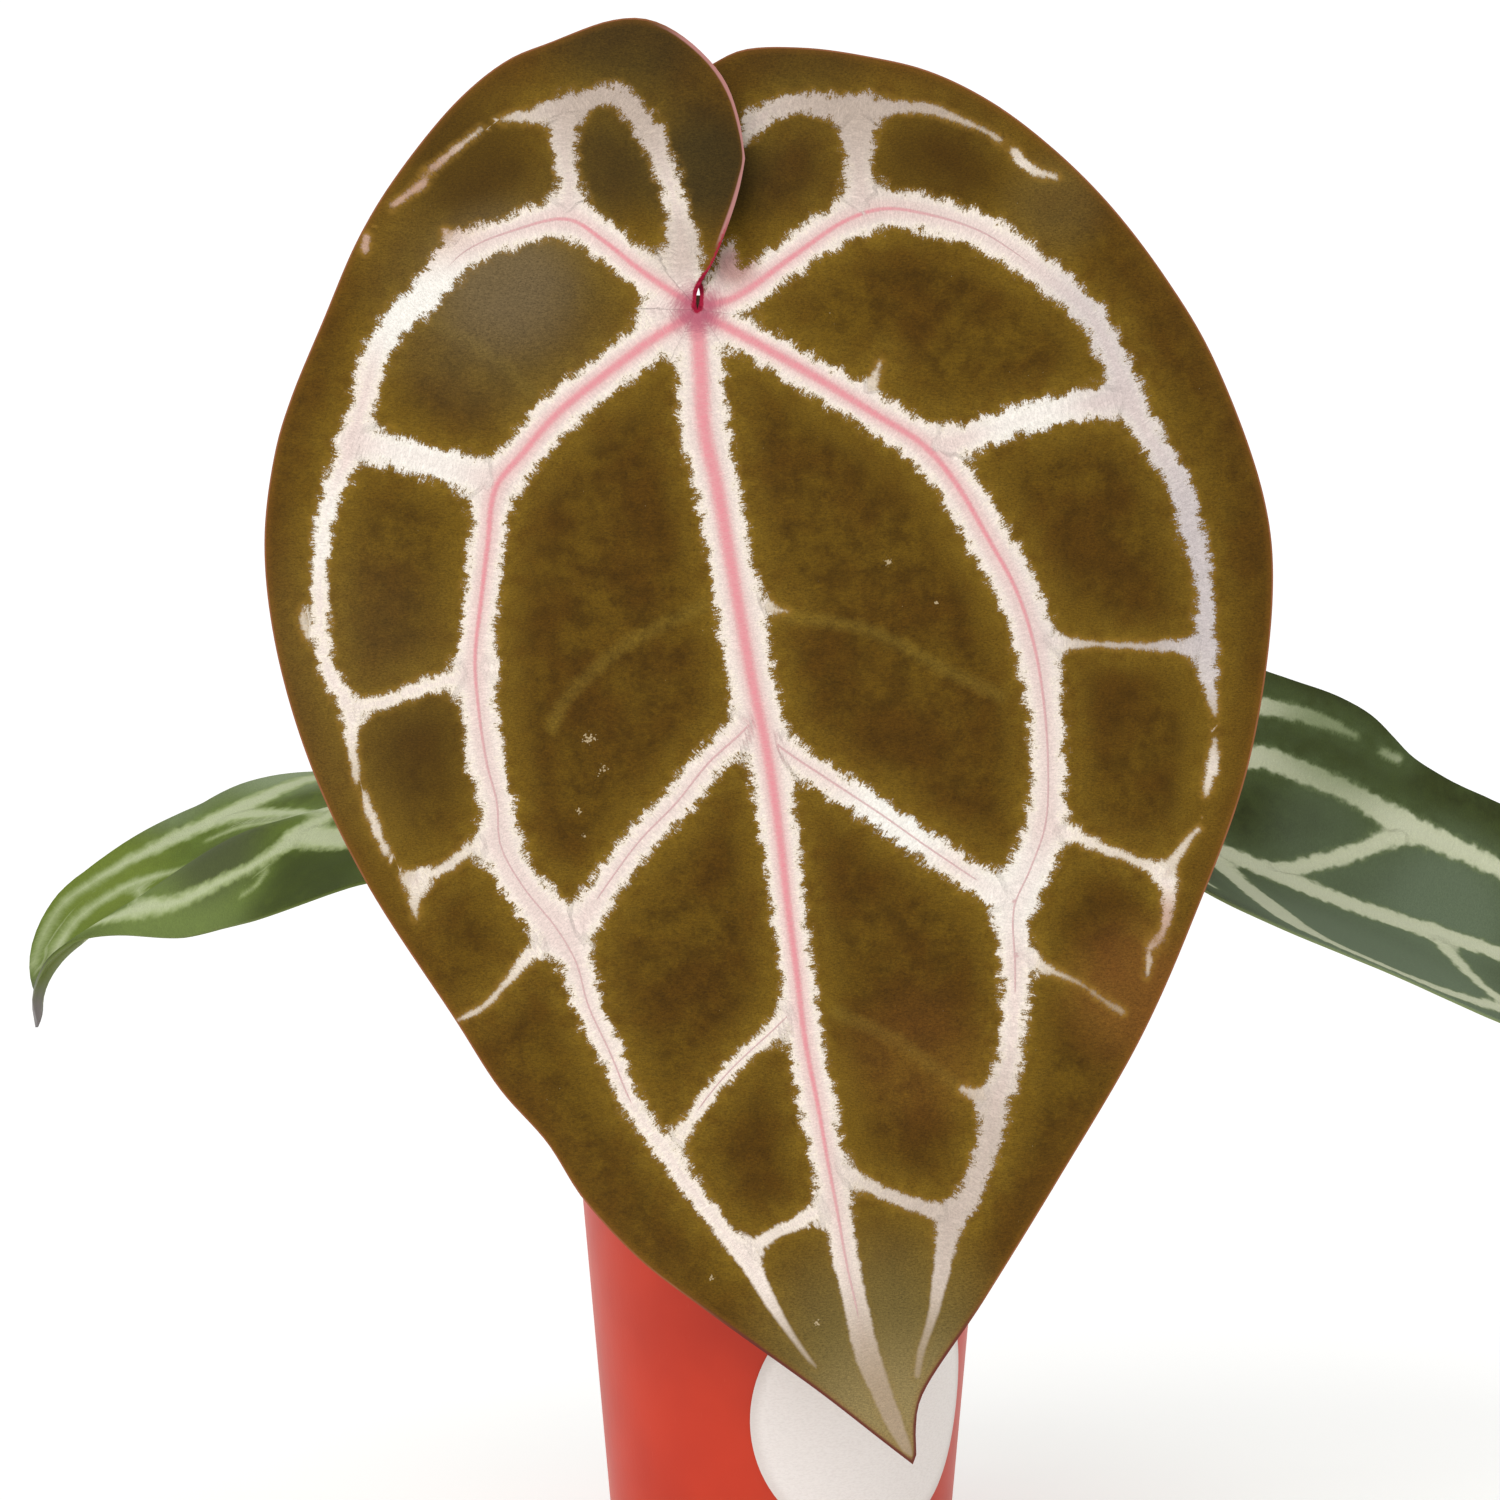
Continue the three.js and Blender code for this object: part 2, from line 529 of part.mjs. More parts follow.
const placeLeft = sideLeaf({
  spine: [
    v3(0, 12, 158), v3(-20, 12, 161.5), LEFT_JUNCTION, v3(-68, 12, 160.5), v3(-95, 12, 155.3),
    v3(-113.5, 12, 148.8), v3(-130.3, 12, 141.7), v3(-142.5, 12, 136.2), v3(-150.6, 12, 130),
    v3(-155, 12, 122.3), v3(-156.3, 11, 114.8), v3(-155.4, 10, 108.8),
  ],
  right: v3(0, -1, 0),
  junctionShare: 0.224,
  tiltRight: [degrees(-25), degrees(-27)],
  tiltLeft: [degrees(-8), degrees(43)],
  wavePhase: 0.4,
});
const placeRight = sideLeaf({
  spine: [
    v3(49, 24, 158), v3(68, 25, 155), RIGHT_JUNCTION, v3(96.1, 25, 145.4), v3(111.5, 25, 138.8),
    v3(123.1, 25, 134), v3(135.1, 25, 129.6), v3(145.8, 25, 126), v3(154.2, 25, 123),
    v3(175.8, 25, 113.7), v3(194, 24, 100),
  ],
  right: v3(0, 1, 0),
  junctionShare: 0.234,
  tiltRight: [degrees(60), degrees(64)],
  tiltLeft: [degrees(-3), degrees(-27)],
  wavePhase: 2.2,
});

// The plant in its pot, put together from the pot upwards
const plant = new THREE.Group();
plant.add(
  makePot(),
  makeLabel(),
  piece('potting_mix', toGeometry(makeMix()), 0x4b3526, 0.95),
  piece('roots', toGeometry(rootSolid(0)), 0xc9b48c, 0.7),
  piece('stem', toGeometry(stemSolid(0)), 0x6f7440, 0.7),
  makeStalk('front', stalkRoutes.front, 0x6c5f33),
  makeStalk('left', stalkRoutes.left, 0x6d7a3a),
  makeStalk('right', stalkRoutes.right, 0x6d7a3a),
  makeBract('front', stalkRoutes.front, 27),
  makeBract('left', stalkRoutes.left, 22),
  makeBract('right', stalkRoutes.right, 18),
  piece('blade_front', bladeGeometry({
    outline: frontOutline, rays: 72, rings: 11, place: placeFront,
    thickness: ribbed(frontRibs, RIB_HEIGHT.front, RIB_WIDTH),
  }), 0x5e4417, 0.75),
  piece('blade_left', bladeGeometry({
    outline: heart(leftHalfOutline, leftHalfOutline, LEFT_TIP), rays: 40, rings: 11, place: placeLeft,
    thickness: ribbed(sideRibs(LEFT_TIP, 48), RIB_HEIGHT.side, RIB_WIDTH),
  }), 0x6a7833, 0.6),
  piece('blade_right', bladeGeometry({
    outline: heart(rightFarOutline, rightNearOutline, RIGHT_TIP), rays: 40, rings: 8, place: placeRight,
    thickness: ribbed(sideRibs(RIGHT_TIP, 50), RIB_HEIGHT.side, RIB_WIDTH),
  }), 0x46532f, 0.6),
);

export default plant;
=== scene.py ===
# Potted anthurium hybrid: a velvety front leaf, two older side leaves and a round nursery pot.
# Metres, +Z up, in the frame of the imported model. The front leaf faces -Y.

import math

import bmesh
import bpy
import numpy as np
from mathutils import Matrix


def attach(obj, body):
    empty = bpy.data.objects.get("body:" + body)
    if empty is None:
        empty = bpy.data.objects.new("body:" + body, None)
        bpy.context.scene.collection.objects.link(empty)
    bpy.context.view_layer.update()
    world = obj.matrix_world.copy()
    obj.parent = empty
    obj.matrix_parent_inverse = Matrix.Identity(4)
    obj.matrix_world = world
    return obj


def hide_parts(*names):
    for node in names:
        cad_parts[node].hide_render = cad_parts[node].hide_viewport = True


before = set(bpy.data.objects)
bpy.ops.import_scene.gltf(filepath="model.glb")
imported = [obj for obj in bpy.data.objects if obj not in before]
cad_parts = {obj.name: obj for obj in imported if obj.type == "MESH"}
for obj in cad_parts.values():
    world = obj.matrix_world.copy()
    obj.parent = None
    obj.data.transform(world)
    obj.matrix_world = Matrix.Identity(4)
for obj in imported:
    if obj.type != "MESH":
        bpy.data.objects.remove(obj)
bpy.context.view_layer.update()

# Camera: a 70 mm lens that looks level at the front leaf, from 60 cm in front of the pot's middle. It has
# no shift and no depth of field.
VIEW_POINT = (-0.0064, -0.6, 0.1673)
SENSOR_WIDTH = 36.0
FRAME_WIDTH_PIXELS = 1500
LENS_IN_PIXELS = 2915
LEVEL = math.pi / 2


def linked(name, data):
    """A new object that shows the data, linked to the scene."""
    made = bpy.data.objects.new(name, data)
    bpy.context.scene.collection.objects.link(made)
    return made


camera_data = bpy.data.cameras.new("camera")
camera_data.sensor_width = SENSOR_WIDTH
camera_data.lens = SENSOR_WIDTH * LENS_IN_PIXELS / FRAME_WIDTH_PIXELS
camera = linked("camera", camera_data)
camera.location = VIEW_POINT
camera.rotation_euler = (LEVEL, 0, 0)
bpy.context.scene.camera = camera

# Studio: a wide matt floor under a white sky, with one big soft lamp in front, above and to the left.
# The sky that the lens sees is as bright as the floor far away, so the two meet without a line.
FLOOR_SIZE = 12.0
FLOOR_COLOR = (236, 236, 235)
FLOOR_CLOUD_COLOR = (225, 225, 225)
FLOOR_CLOUDING = 0.04
FLOOR_CLOUDS_PER_METRE = 3.0
FLOOR_GLOW = 0.45
SKY_STRENGTH = 0.66
LAMP_STRENGTH = 1.1
LAMP_SPREAD = math.radians(55)
LAMP_FROM = (-0.5, -0.75, 0.62)


def shade(red, green, blue):
    """A screen colour from 0 to 255 as Blender's linear colour."""
    scaled = [value / 255 for value in (red, green, blue)]
    return (*[v / 12.92 if v <= 0.04045 else ((v + 0.055) / 1.055) ** 2.4 for v in scaled], 1.0)


class Wire:
    """A node's output that Python's operators work on: each one adds the Math node that it needs."""

    def __init__(self, tree, socket):
        self.tree = tree
        self.socket = socket

    def output(self, name):
        return Wire(self.tree, self.socket.node.outputs[name])

    def maths(self, operation, other, turned=False):
        """A Math node that takes this wire first and the other value second, or the two turned round."""
        values = (other, self) if turned else (self, other)
        return self.tree.node("ShaderNodeMath", {"operation": operation}, dict(enumerate(values)))

    def __add__(self, other):
        return self.maths("ADD", other)

    def __sub__(self, other):
        return self.maths("SUBTRACT", other)

    def __rsub__(self, other):
        return self.maths("SUBTRACT", other, turned=True)

    def __mul__(self, other):
        return self.maths("MULTIPLY", other)

    def __truediv__(self, other):
        return self.maths("DIVIDE", other)

    __radd__ = __add__
    __rmul__ = __mul__

    def rise(self, low, high):
        """0 below low, 1 above high and smooth between. Where low is the larger, it falls instead."""
        if not isinstance(low, Wire) and not isinstance(high, Wire) and low > high:
            return 1 - self.rise(high, low)
        return self.tree.node("ShaderNodeMapRange", {"interpolation_type": "SMOOTHSTEP"}, {
            "Value": self, "From Min": low, "From Max": high})


class Tree:
    """A node tree. Its node method adds any node: its type, its settings, then its sockets."""

    def __init__(self, owner):
        self.owner = owner

    def node(self, kind, settings=None, inputs=None, output=0):
        made = self.owner.nodes.new(kind)
        for name, value in (settings or {}).items():
            setattr(made, name, value)
        for name, value in (inputs or {}).items():
            if isinstance(value, Wire):
                self.owner.links.new(value.socket, made.inputs[name])
            else:
                made.inputs[name].default_value = value
        return Wire(self, made.outputs[output]) if made.outputs else made

    def color(self, factor, low, high, blend="MIX"):
        """The low colour where the factor is 0 and the high one where it is 1."""
        factor_socket, low_socket, high_socket, result = 0, 6, 7, 2
        return self.node("ShaderNodeMix", {"data_type": "RGBA", "blend_type": blend}, {
            factor_socket: factor, low_socket: low, high_socket: high}, result)

    def layered(self, color, *layers):
        """A colour under others: each layer is how far it covers, then its colour."""
        for cover, over in layers:
            color = self.color(cover, color, over)
        return color

    def vector(self, operation, *values, **named):
        """A Vector Math node. A length or a distance comes out as a number."""
        inputs = {**dict(enumerate(values)), **named}
        output = "Value" if operation in ("LENGTH", "DISTANCE") else 0
        return self.node("ShaderNodeVectorMath", {"operation": operation}, inputs, output)

    def noise(self, place, scale, detail=2.0, roughness=0.5):
        return self.node("ShaderNodeTexNoise", {}, {
            "Vector": place, "Scale": scale, "Detail": detail, "Roughness": roughness})

    def attribute(self, name, output="Fac"):
        return self.node("ShaderNodeAttribute", {"attribute_name": name}, {}, output)

    def place(self):
        return self.node("ShaderNodeTexCoord", {}, {}, "Object")

    def stretched(self, place, scale):
        return self.node("ShaderNodeMapping", {}, {"Vector": place, "Scale": scale})


class Finish(Tree):
    """A material: a Principled shader whose constants are set on its own sockets."""

    def __init__(self, name, **constants):
        self.material = bpy.data.materials.new(name)
        self.material.use_nodes = True
        super().__init__(self.material.node_tree)
        self.shader = self.owner.nodes["Principled BSDF"]
        for socket, value in constants.items():
            self.shader.inputs[socket.replace("_", " ")].default_value = value

    def feed(self, socket, wire):
        self.owner.links.new(wire.socket, self.shader.inputs[socket])

    def paint(self, color, *layers):
        """Feeds Base Color with a colour and the layers over it, each with how far it covers."""
        layers = [(cover, shade(*over)) for cover, over in layers]
        self.feed("Base Color", self.layered(shade(*color), *layers))

    def bump(self, height, depth):
        """Relief: a height of 1 stands out by the depth, in metres."""
        self.feed("Normal", self.node("ShaderNodeBump", {}, {"Height": height, "Distance": depth}))


floor_finish = Finish("floor_matt", Roughness=1.0, Specular_IOR_Level=0.0, Emission_Strength=FLOOR_GLOW)
floor_finish.shader.inputs["Emission Color"].default_value = shade(*FLOOR_COLOR)
floor_cloud = floor_finish.noise(floor_finish.place(), FLOOR_CLOUDS_PER_METRE) * FLOOR_CLOUDING
floor_finish.paint(FLOOR_COLOR, (floor_cloud, FLOOR_CLOUD_COLOR))

corner = FLOOR_SIZE / 2
floor_mesh = bpy.data.meshes.new("floor")
floor_mesh.from_pydata(
    [(-corner, -corner, 0), (corner, -corner, 0), (corner, corner, 0), (-corner, corner, 0)],
    [], [(0, 1, 2, 3)])
floor_mesh.materials.append(floor_finish.material)
floor = linked("floor", floor_mesh)

world = bpy.data.worlds.new("white_sky")
world.use_nodes = True
bpy.context.scene.world = world
sky = Tree(world.node_tree)
seen = sky.node("ShaderNodeLightPath", {}, {}, "Is Camera Ray")
background = world.node_tree.nodes["Background"]
floor_white = shade(*FLOOR_COLOR)[0]
lamp_on_floor = LAMP_STRENGTH / math.pi * LAMP_FROM[2] / math.hypot(*LAMP_FROM)
far_floor = floor_white * (SKY_STRENGTH + lamp_on_floor + FLOOR_GLOW)
world.node_tree.links.new((seen * (far_floor - SKY_STRENGTH) + SKY_STRENGTH).socket,
                          background.inputs["Strength"])
background.inputs["Color"].default_value = (1, 1, 1, 1)

lamp_data = bpy.data.lights.new("soft_lamp", "SUN")
lamp_data.energy = LAMP_STRENGTH
lamp_data.angle = LAMP_SPREAD
lamp = linked("soft_lamp", lamp_data)
lamp_tilt = math.atan2(math.hypot(LAMP_FROM[0], LAMP_FROM[1]), LAMP_FROM[2])
lamp.rotation_euler = (lamp_tilt, 0, math.atan2(LAMP_FROM[1], LAMP_FROM[0]) + math.pi / 2)
bpy.context.scene.view_settings.view_transform = "Standard"

# Pot: one shell of red-orange polypropylene, injection moulded, with a stepped rim for its strength,
# a foot ring and centre pad to stand on, and six drain holes punched in the raised channel between.
MM = 0.001
POT_TOP_RADIUS = 42.5 * MM
POT_BASE_RADIUS = 34 * MM
POT_HEIGHT = 85 * MM
POT_WALL = 1.4 * MM
RIM_DEPTH = 9 * MM
RIM_STEP = 0.9 * MM
FOOT_WIDTH = 4 * MM
CHANNEL_HEIGHT = 3 * MM
PAD_RADIUS = 12 * MM
DRAIN_HOLES = 6
DRAIN_RADIUS = 3.2 * MM
DRAIN_SIDES = 24
POT_CORNER = 0.5 * MM
POT_CORNER_STEPS = 4
POT_SLOPE = 1 * MM
FOOT_BEVEL = 1.2 * MM
RIM_BEVEL = 0.8 * MM
POT_SIDES = 160
POT_SHARP_ANGLE = math.radians(35)
POT_COLOR = (197, 50, 15)
POT_DARK_COLOR = (182, 42, 11)
POT_SCUFF_COLOR = (226, 120, 96)


def pot_outside(height):
    return POT_BASE_RADIUS + (POT_TOP_RADIUS - RIM_STEP - POT_BASE_RADIUS) / POT_HEIGHT * height


def pot_inside(height):
    return pot_outside(height) - POT_WALL


def rounded(profile, radius, steps):
    """The profile with its corners rounded off, apart from its two ends."""
    points = np.array(profile, float)
    soft = [points[0]]
    for before, corner, after in zip(points, points[1:], points[2:]):
        back, on = before - corner, after - corner
        cut = min(radius, 0.45 * np.linalg.norm(back), 0.45 * np.linalg.norm(on))
        start = corner + back / np.linalg.norm(back) * cut
        end = corner + on / np.linalg.norm(on) * cut
        for share in np.linspace(0, 1, steps):
            soft.append((1 - share) ** 2 * start + 2 * share * (1 - share) * corner + share ** 2 * end)
    return [*soft, points[-1]]


def mesh_object(name, vertices, faces, material):
    """A mesh object at the origin, with its place in its vertices."""
    mesh = bpy.data.meshes.new(name)
    mesh.from_pydata([tuple(v) for v in vertices], [], faces)
    mesh.materials.append(material)
    mesh.validate()
    mesh.polygons.foreach_set("use_smooth", [True] * len(mesh.polygons))
    return linked(name, mesh)


def outward(piece):
    """Turns a closed mesh's faces outwards."""
    body = bmesh.new()
    body.from_mesh(piece.data)
    bmesh.ops.recalc_face_normals(body, faces=body.faces)
    body.to_mesh(piece.data)
    body.free()


def turned(name, profile, sides, material):
    """A closed shape turned about the vertical axis from radius and height pairs, its ends on the axis."""
    vertices, rings = [], []
    for radius, height in profile:
        around = sides if radius > 1e-7 else 1
        rings.append(range(len(vertices), len(vertices) + around))
        for i in range(around):
            turn = 2 * math.pi * i / around
            vertices.append((radius * math.cos(turn), radius * math.sin(turn), height))
    faces = []
    for low, high in zip(rings, rings[1:]):
        for i in range(sides):
            corners = [(low, i), (low, i + 1), (high, i + 1), (high, i)]
            face = list(dict.fromkeys(ring[k % len(ring)] for ring, k in corners))
            if len(face) > 2:
                faces.append(face)
    piece = mesh_object(name, vertices, faces, material)
    outward(piece)
    return piece


class Builder(Tree):
    """A Geometry Nodes tree with named inputs. It ends in Realize Instances and Set Material."""

    def __init__(self, name, **inputs):
        super().__init__(bpy.data.node_groups.new(name, "GeometryNodeTree"))
        self.identifiers = {}
        for kind, labels in {"Geometry": ["Geometry"], **inputs, "Material": ["Material"]}.items():
            for label in labels:
                socket = self.owner.interface.new_socket(
                    label, in_out="INPUT", socket_type=f"NodeSocket{kind}")
                self.identifiers[label] = socket.identifier
        self.owner.interface.new_socket("Geometry", in_out="OUTPUT", socket_type="NodeSocketGeometry")
        self.given = self.node("NodeGroupInput")

    def __getitem__(self, label):
        return self.given.output(label)

    def end(self, geometry):
        real = self.node("GeometryNodeRealizeInstances", {}, {"Geometry": geometry})
        done = self.node("GeometryNodeSetMaterial", {}, {"Geometry": real, "Material": self["Material"]})
        self.node("NodeGroupOutput", {}, {"Geometry": done})

    def apply(self, piece, values):
        """Runs the tree on a piece and leaves the result as a plain mesh on a new object."""
        modifier = piece.modifiers.new(self.owner.name, "NODES")
        modifier.node_group = self.owner
        for label, value in values.items():
            modifier[self.identifiers[label]] = value
        shown = piece.evaluated_get(bpy.context.evaluated_depsgraph_get())
        mesh = bpy.data.meshes.new_from_object(shown)
        name = piece.name
        bpy.data.objects.remove(piece)
        mesh.name = name
        return linked(name, mesh)


pot_finish = Finish("pot_polypropylene", Specular_IOR_Level=0.35)
pot_place = pot_finish.place()
pot_cloud = pot_finish.noise(pot_place, 34, 3)
pot_scuff = pot_finish.noise(pot_finish.stretched(pot_place, (1, 1, 0.12)), 900, 3, 0.6)
pot_finish.paint(POT_COLOR, (pot_cloud.rise(0.3, 0.75), POT_DARK_COLOR),
                 (pot_scuff.rise(0.66, 0.8) * 0.25, POT_SCUFF_COLOR))
pot_finish.feed("Roughness", 0.34 + pot_cloud * 0.1 + pot_scuff * 0.06)
pot_finish.bump(pot_finish.noise(pot_place, 2600, 2) * 0.6 + pot_scuff * 0.4, 0.03 * MM)

rim_foot = POT_HEIGHT - RIM_DEPTH
foot_inner = POT_BASE_RADIUS - FOOT_WIDTH
pot_floor = CHANNEL_HEIGHT + POT_WALL
pot_profile = rounded([
    (0, 0), (PAD_RADIUS, 0), (PAD_RADIUS + POT_SLOPE, CHANNEL_HEIGHT),
    (foot_inner - POT_SLOPE, CHANNEL_HEIGHT), (foot_inner, 0), (POT_BASE_RADIUS - POT_SLOPE, 0),
    (POT_BASE_RADIUS, FOOT_BEVEL), (pot_outside(rim_foot), rim_foot),
    (pot_outside(rim_foot) + RIM_STEP, rim_foot + RIM_BEVEL),
    (POT_TOP_RADIUS, POT_HEIGHT), (pot_inside(POT_HEIGHT), POT_HEIGHT),
    (pot_inside(pot_floor), pot_floor), (PAD_RADIUS, pot_floor), (PAD_RADIUS - POT_SLOPE, POT_WALL),
    (0, POT_WALL)], POT_CORNER, POT_CORNER_STEPS)
solid_pot = turned("pot_shell", pot_profile, POT_SIDES, pot_finish.material)

drain = Builder("drain_holes", Int=["Holes"], Float=["Ring radius", "Hole radius", "Height"])
drain_ring = drain.node("GeometryNodeMeshCircle", {}, {
    "Vertices": drain["Holes"], "Radius": drain["Ring radius"]})
drain_ring = drain.node("GeometryNodeTransform", {}, {
    "Geometry": drain_ring, "Rotation": (0, 0, math.pi / DRAIN_HOLES),
    "Translation": drain.node("ShaderNodeCombineXYZ", {}, {"Z": drain["Height"]})})
drain_punch = drain.node("GeometryNodeMeshCylinder", {}, {
    "Vertices": DRAIN_SIDES, "Radius": drain["Hole radius"], "Depth": 6 * POT_WALL})
drain_punches = drain.node("GeometryNodeInstanceOnPoints", {}, {
    "Points": drain_ring, "Instance": drain_punch})
drain.end(drain.node("GeometryNodeMeshBoolean", {"operation": "DIFFERENCE", "solver": "EXACT"}, {
    "Mesh 1": drain["Geometry"],
    "Mesh 2": drain.node("GeometryNodeRealizeInstances", {}, {"Geometry": drain_punches})}))
pot = drain.apply(solid_pot, {
    "Holes": DRAIN_HOLES, "Ring radius": (PAD_RADIUS + foot_inner) / 2, "Hole radius": DRAIN_RADIUS,
    "Height": pot_floor - POT_WALL / 2, "Material": pot_finish.material})
pot.data.set_sharp_from_angle(angle=POT_SHARP_ANGLE)
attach(pot, "root")
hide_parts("pot")

# Sticker: a round of bare off-white coated paper, pressed round the tapering wall of the pot.
# It is cut from a flat sheet, so it hugs the wall and only its edge shows its thickness.
LABEL_RADIUS = 26 * MM
LABEL_HEIGHT = 39 * MM
LABEL_TURN = math.radians(30)
LABEL_BACK = 0.06 * MM
LABEL_THICKNESS = 0.24 * MM
LABEL_BEVEL = 0.4 * LABEL_THICKNESS
LABEL_LAST_RING = 0.985
LABEL_RINGS = 14
LABEL_SIDES = 96
LABEL_SHARP_ANGLE = math.radians(40)
LABEL_COLOR = (238, 231, 226)
LABEL_FIBRE_COLOR = (208, 198, 192)
# The colour of the painted shade along the paper's edge.
LABEL_RIM_SHADE_COLOR = (198, 186, 180)
DOUBLE_DISTANCE = 0.001 * MM


def closed_sheet(name, front, back, faces, edge, material):
    """A closed thin piece: front and back points, the front's faces and the loop of points at its edge."""
    count = len(front)
    turned_over = [(count + first, *[count + corner for corner in others[::-1]]) for first, *others in faces]
    walls = [(a, b, count + b, count + a) for a, b in zip(edge, [*edge[1:], edge[0]])]
    return mesh_object(name, [*front, *back], [*faces, *turned_over, *walls], material)


def merged(mesh, distance):
    """Joins a mesh's vertices that lie closer than the distance."""
    body = bmesh.new()
    body.from_mesh(mesh)
    bmesh.ops.remove_doubles(body, verts=body.verts, dist=distance)
    body.to_mesh(mesh)
    body.free()


def vertex_places(mesh):
    """A mesh's vertices as an array with a row for each."""
    points = np.zeros(len(mesh.vertices) * 3)
    mesh.vertices.foreach_get("co", points)
    return points.reshape(-1, 3)


def mark(piece, name, values, kind="FLOAT"):
    """Stores a number, or a vector, at each vertex of a piece, for its material to read."""
    data = piece.data.attributes.new(name, kind, "POINT").data
    data.foreach_set("vector" if kind == "FLOAT_VECTOR" else "value", np.ravel(values).astype(np.float32))


label_finish = Finish("label_coated_paper", Specular_IOR_Level=0.4)
label_place = label_finish.place()
label_fibre = label_finish.noise(label_finish.stretched(label_place, (1, 1, 2.5)), 1400, 4, 0.6)
# The paper is painted darker towards its edge, all the way round: this is painted shade.
label_rim_shade = label_finish.attribute("rim").rise(0.9, 1.0)
label_finish.paint(LABEL_COLOR, (label_fibre.rise(0.35, 0.75) * 0.35, LABEL_FIBRE_COLOR),
                   (label_rim_shade * 0.5, LABEL_RIM_SHADE_COLOR))
label_finish.feed("Roughness", 0.42 + label_fibre * 0.12)
label_finish.bump(label_fibre, 0.02 * MM)

label_front, label_back, label_faces = [], [], []
for ring in range(LABEL_RINGS + 1):
    on_edge = ring == LABEL_RINGS
    share = 1.0 if on_edge else ring / (LABEL_RINGS - 1) * LABEL_LAST_RING
    thickness = LABEL_THICKNESS - LABEL_BEVEL * on_edge
    for i in range(LABEL_SIDES):
        turn = 2 * math.pi * i / LABEL_SIDES
        height = LABEL_HEIGHT + LABEL_RADIUS * share * math.sin(turn)
        wall = pot_outside(height)
        around = LABEL_TURN + LABEL_RADIUS * share * math.cos(turn) / wall
        for side, out in ((label_front, thickness), (label_back, 0)):
            radius = wall + LABEL_BACK + out
            side.append((radius * math.sin(around), -radius * math.cos(around), height))
        if not on_edge:
            a, b = ring * LABEL_SIDES + i, ring * LABEL_SIDES + (i + 1) % LABEL_SIDES
            label_faces.append((a, a + LABEL_SIDES, b + LABEL_SIDES, b))
label_edge = range(LABEL_RINGS * LABEL_SIDES, (LABEL_RINGS + 1) * LABEL_SIDES)
label = closed_sheet(
    "label_paper_round", label_front, label_back, label_faces, label_edge, label_finish.material)
merged(label.data, DOUBLE_DISTANCE)
outward(label)
label_x, label_y, label_z = vertex_places(label.data).T
label_across = (np.arctan2(label_x, -label_y) - LABEL_TURN) * np.hypot(label_x, label_y)
mark(label, "rim", np.hypot(label_across, label_z - LABEL_HEIGHT) / LABEL_RADIUS)
label.data.set_sharp_from_angle(angle=LABEL_SHARP_ANGLE)
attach(label, "root")
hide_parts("label")

# Potting mix: a moist heap of composted bark, with loose bark chips and white perlite lying on it.
# It fills the pot to a centimetre below the rim.
MIX_TOP = 75 * MM
MIX_GAP = 0.3 * MM
MIX_RINGS = 46
MIX_SIDES = 120
CHIP_SPACING = 2.6 * MM
CHIP_SIZE = (7.5 * MM, 4.6 * MM, 2.6 * MM)
PERLITE_SPACING = 7.5 * MM
PERLITE_RADIUS = 1.5 * MM
CHIP_NOISE_PER_METRE = 330.0
CHIP_DENSITY_MOST = 400000.0
CHIP_STEEPEST = 0.3
CHIP_EDGE_GAP = 4.2 * MM
STEM_CLEAR_RADIUS = 8 * MM
MIX_WALL_HEIGHTS = (55 * MM, 30 * MM, CHANNEL_HEIGHT + POT_WALL + MIX_GAP)
MIX_HEAP_TONE = 0.12
MIX_DARK_COLOR = (50, 33, 22)
MIX_LIGHT_COLOR = (128, 88, 56)
MIX_GRAIN_COLOR = (38, 25, 17)
PERLITE_COLOR = (232, 228, 216)
PERLITE_PIT_COLOR = (176, 166, 148)

mix_finish = Finish("bark_mix", Roughness=0.9, Specular_IOR_Level=0.25)
mix_place = mix_finish.place()
mix_tone = mix_finish.attribute("tone")
mix_grain = mix_finish.noise(mix_finish.stretched(mix_place, (1, 2.4, 1.6)), 900, 4, 0.65)
mix_finish.paint(MIX_DARK_COLOR, (mix_tone, MIX_LIGHT_COLOR),
                 (mix_grain.rise(0.3, 0.8) * 0.7, MIX_GRAIN_COLOR))
mix_finish.bump(mix_grain, 0.35 * MM)

perlite_finish = Finish("perlite", Roughness=0.85, Specular_IOR_Level=0.3)
perlite_pits = perlite_finish.noise(perlite_finish.place(), 1500, 3, 0.6)
perlite_finish.paint(PERLITE_COLOR, (perlite_pits.rise(0.4, 0.7) * 0.5, PERLITE_PIT_COLOR))
perlite_finish.bump(perlite_pits, 0.2 * MM)


def mix_height(x, y):
    """The heap's top: a little higher round the stem, with lumps."""
    radius = np.hypot(x, y) / MM
    lumps = 0.9 * np.sin(410 * x + 1.3) * np.cos(370 * y - 0.6) + 0.5 * np.sin(900 * x - 700 * y)
    grit = 0.35 * np.sin(2100 * x + 900 * y) * np.sin(1800 * y - 1.0)
    return MIX_TOP + MM * (np.interp(radius, (0, 14, 22, 30, 38), (2.2, 1.8, 0.9, 0.2, -0.4)) + lumps + grit)


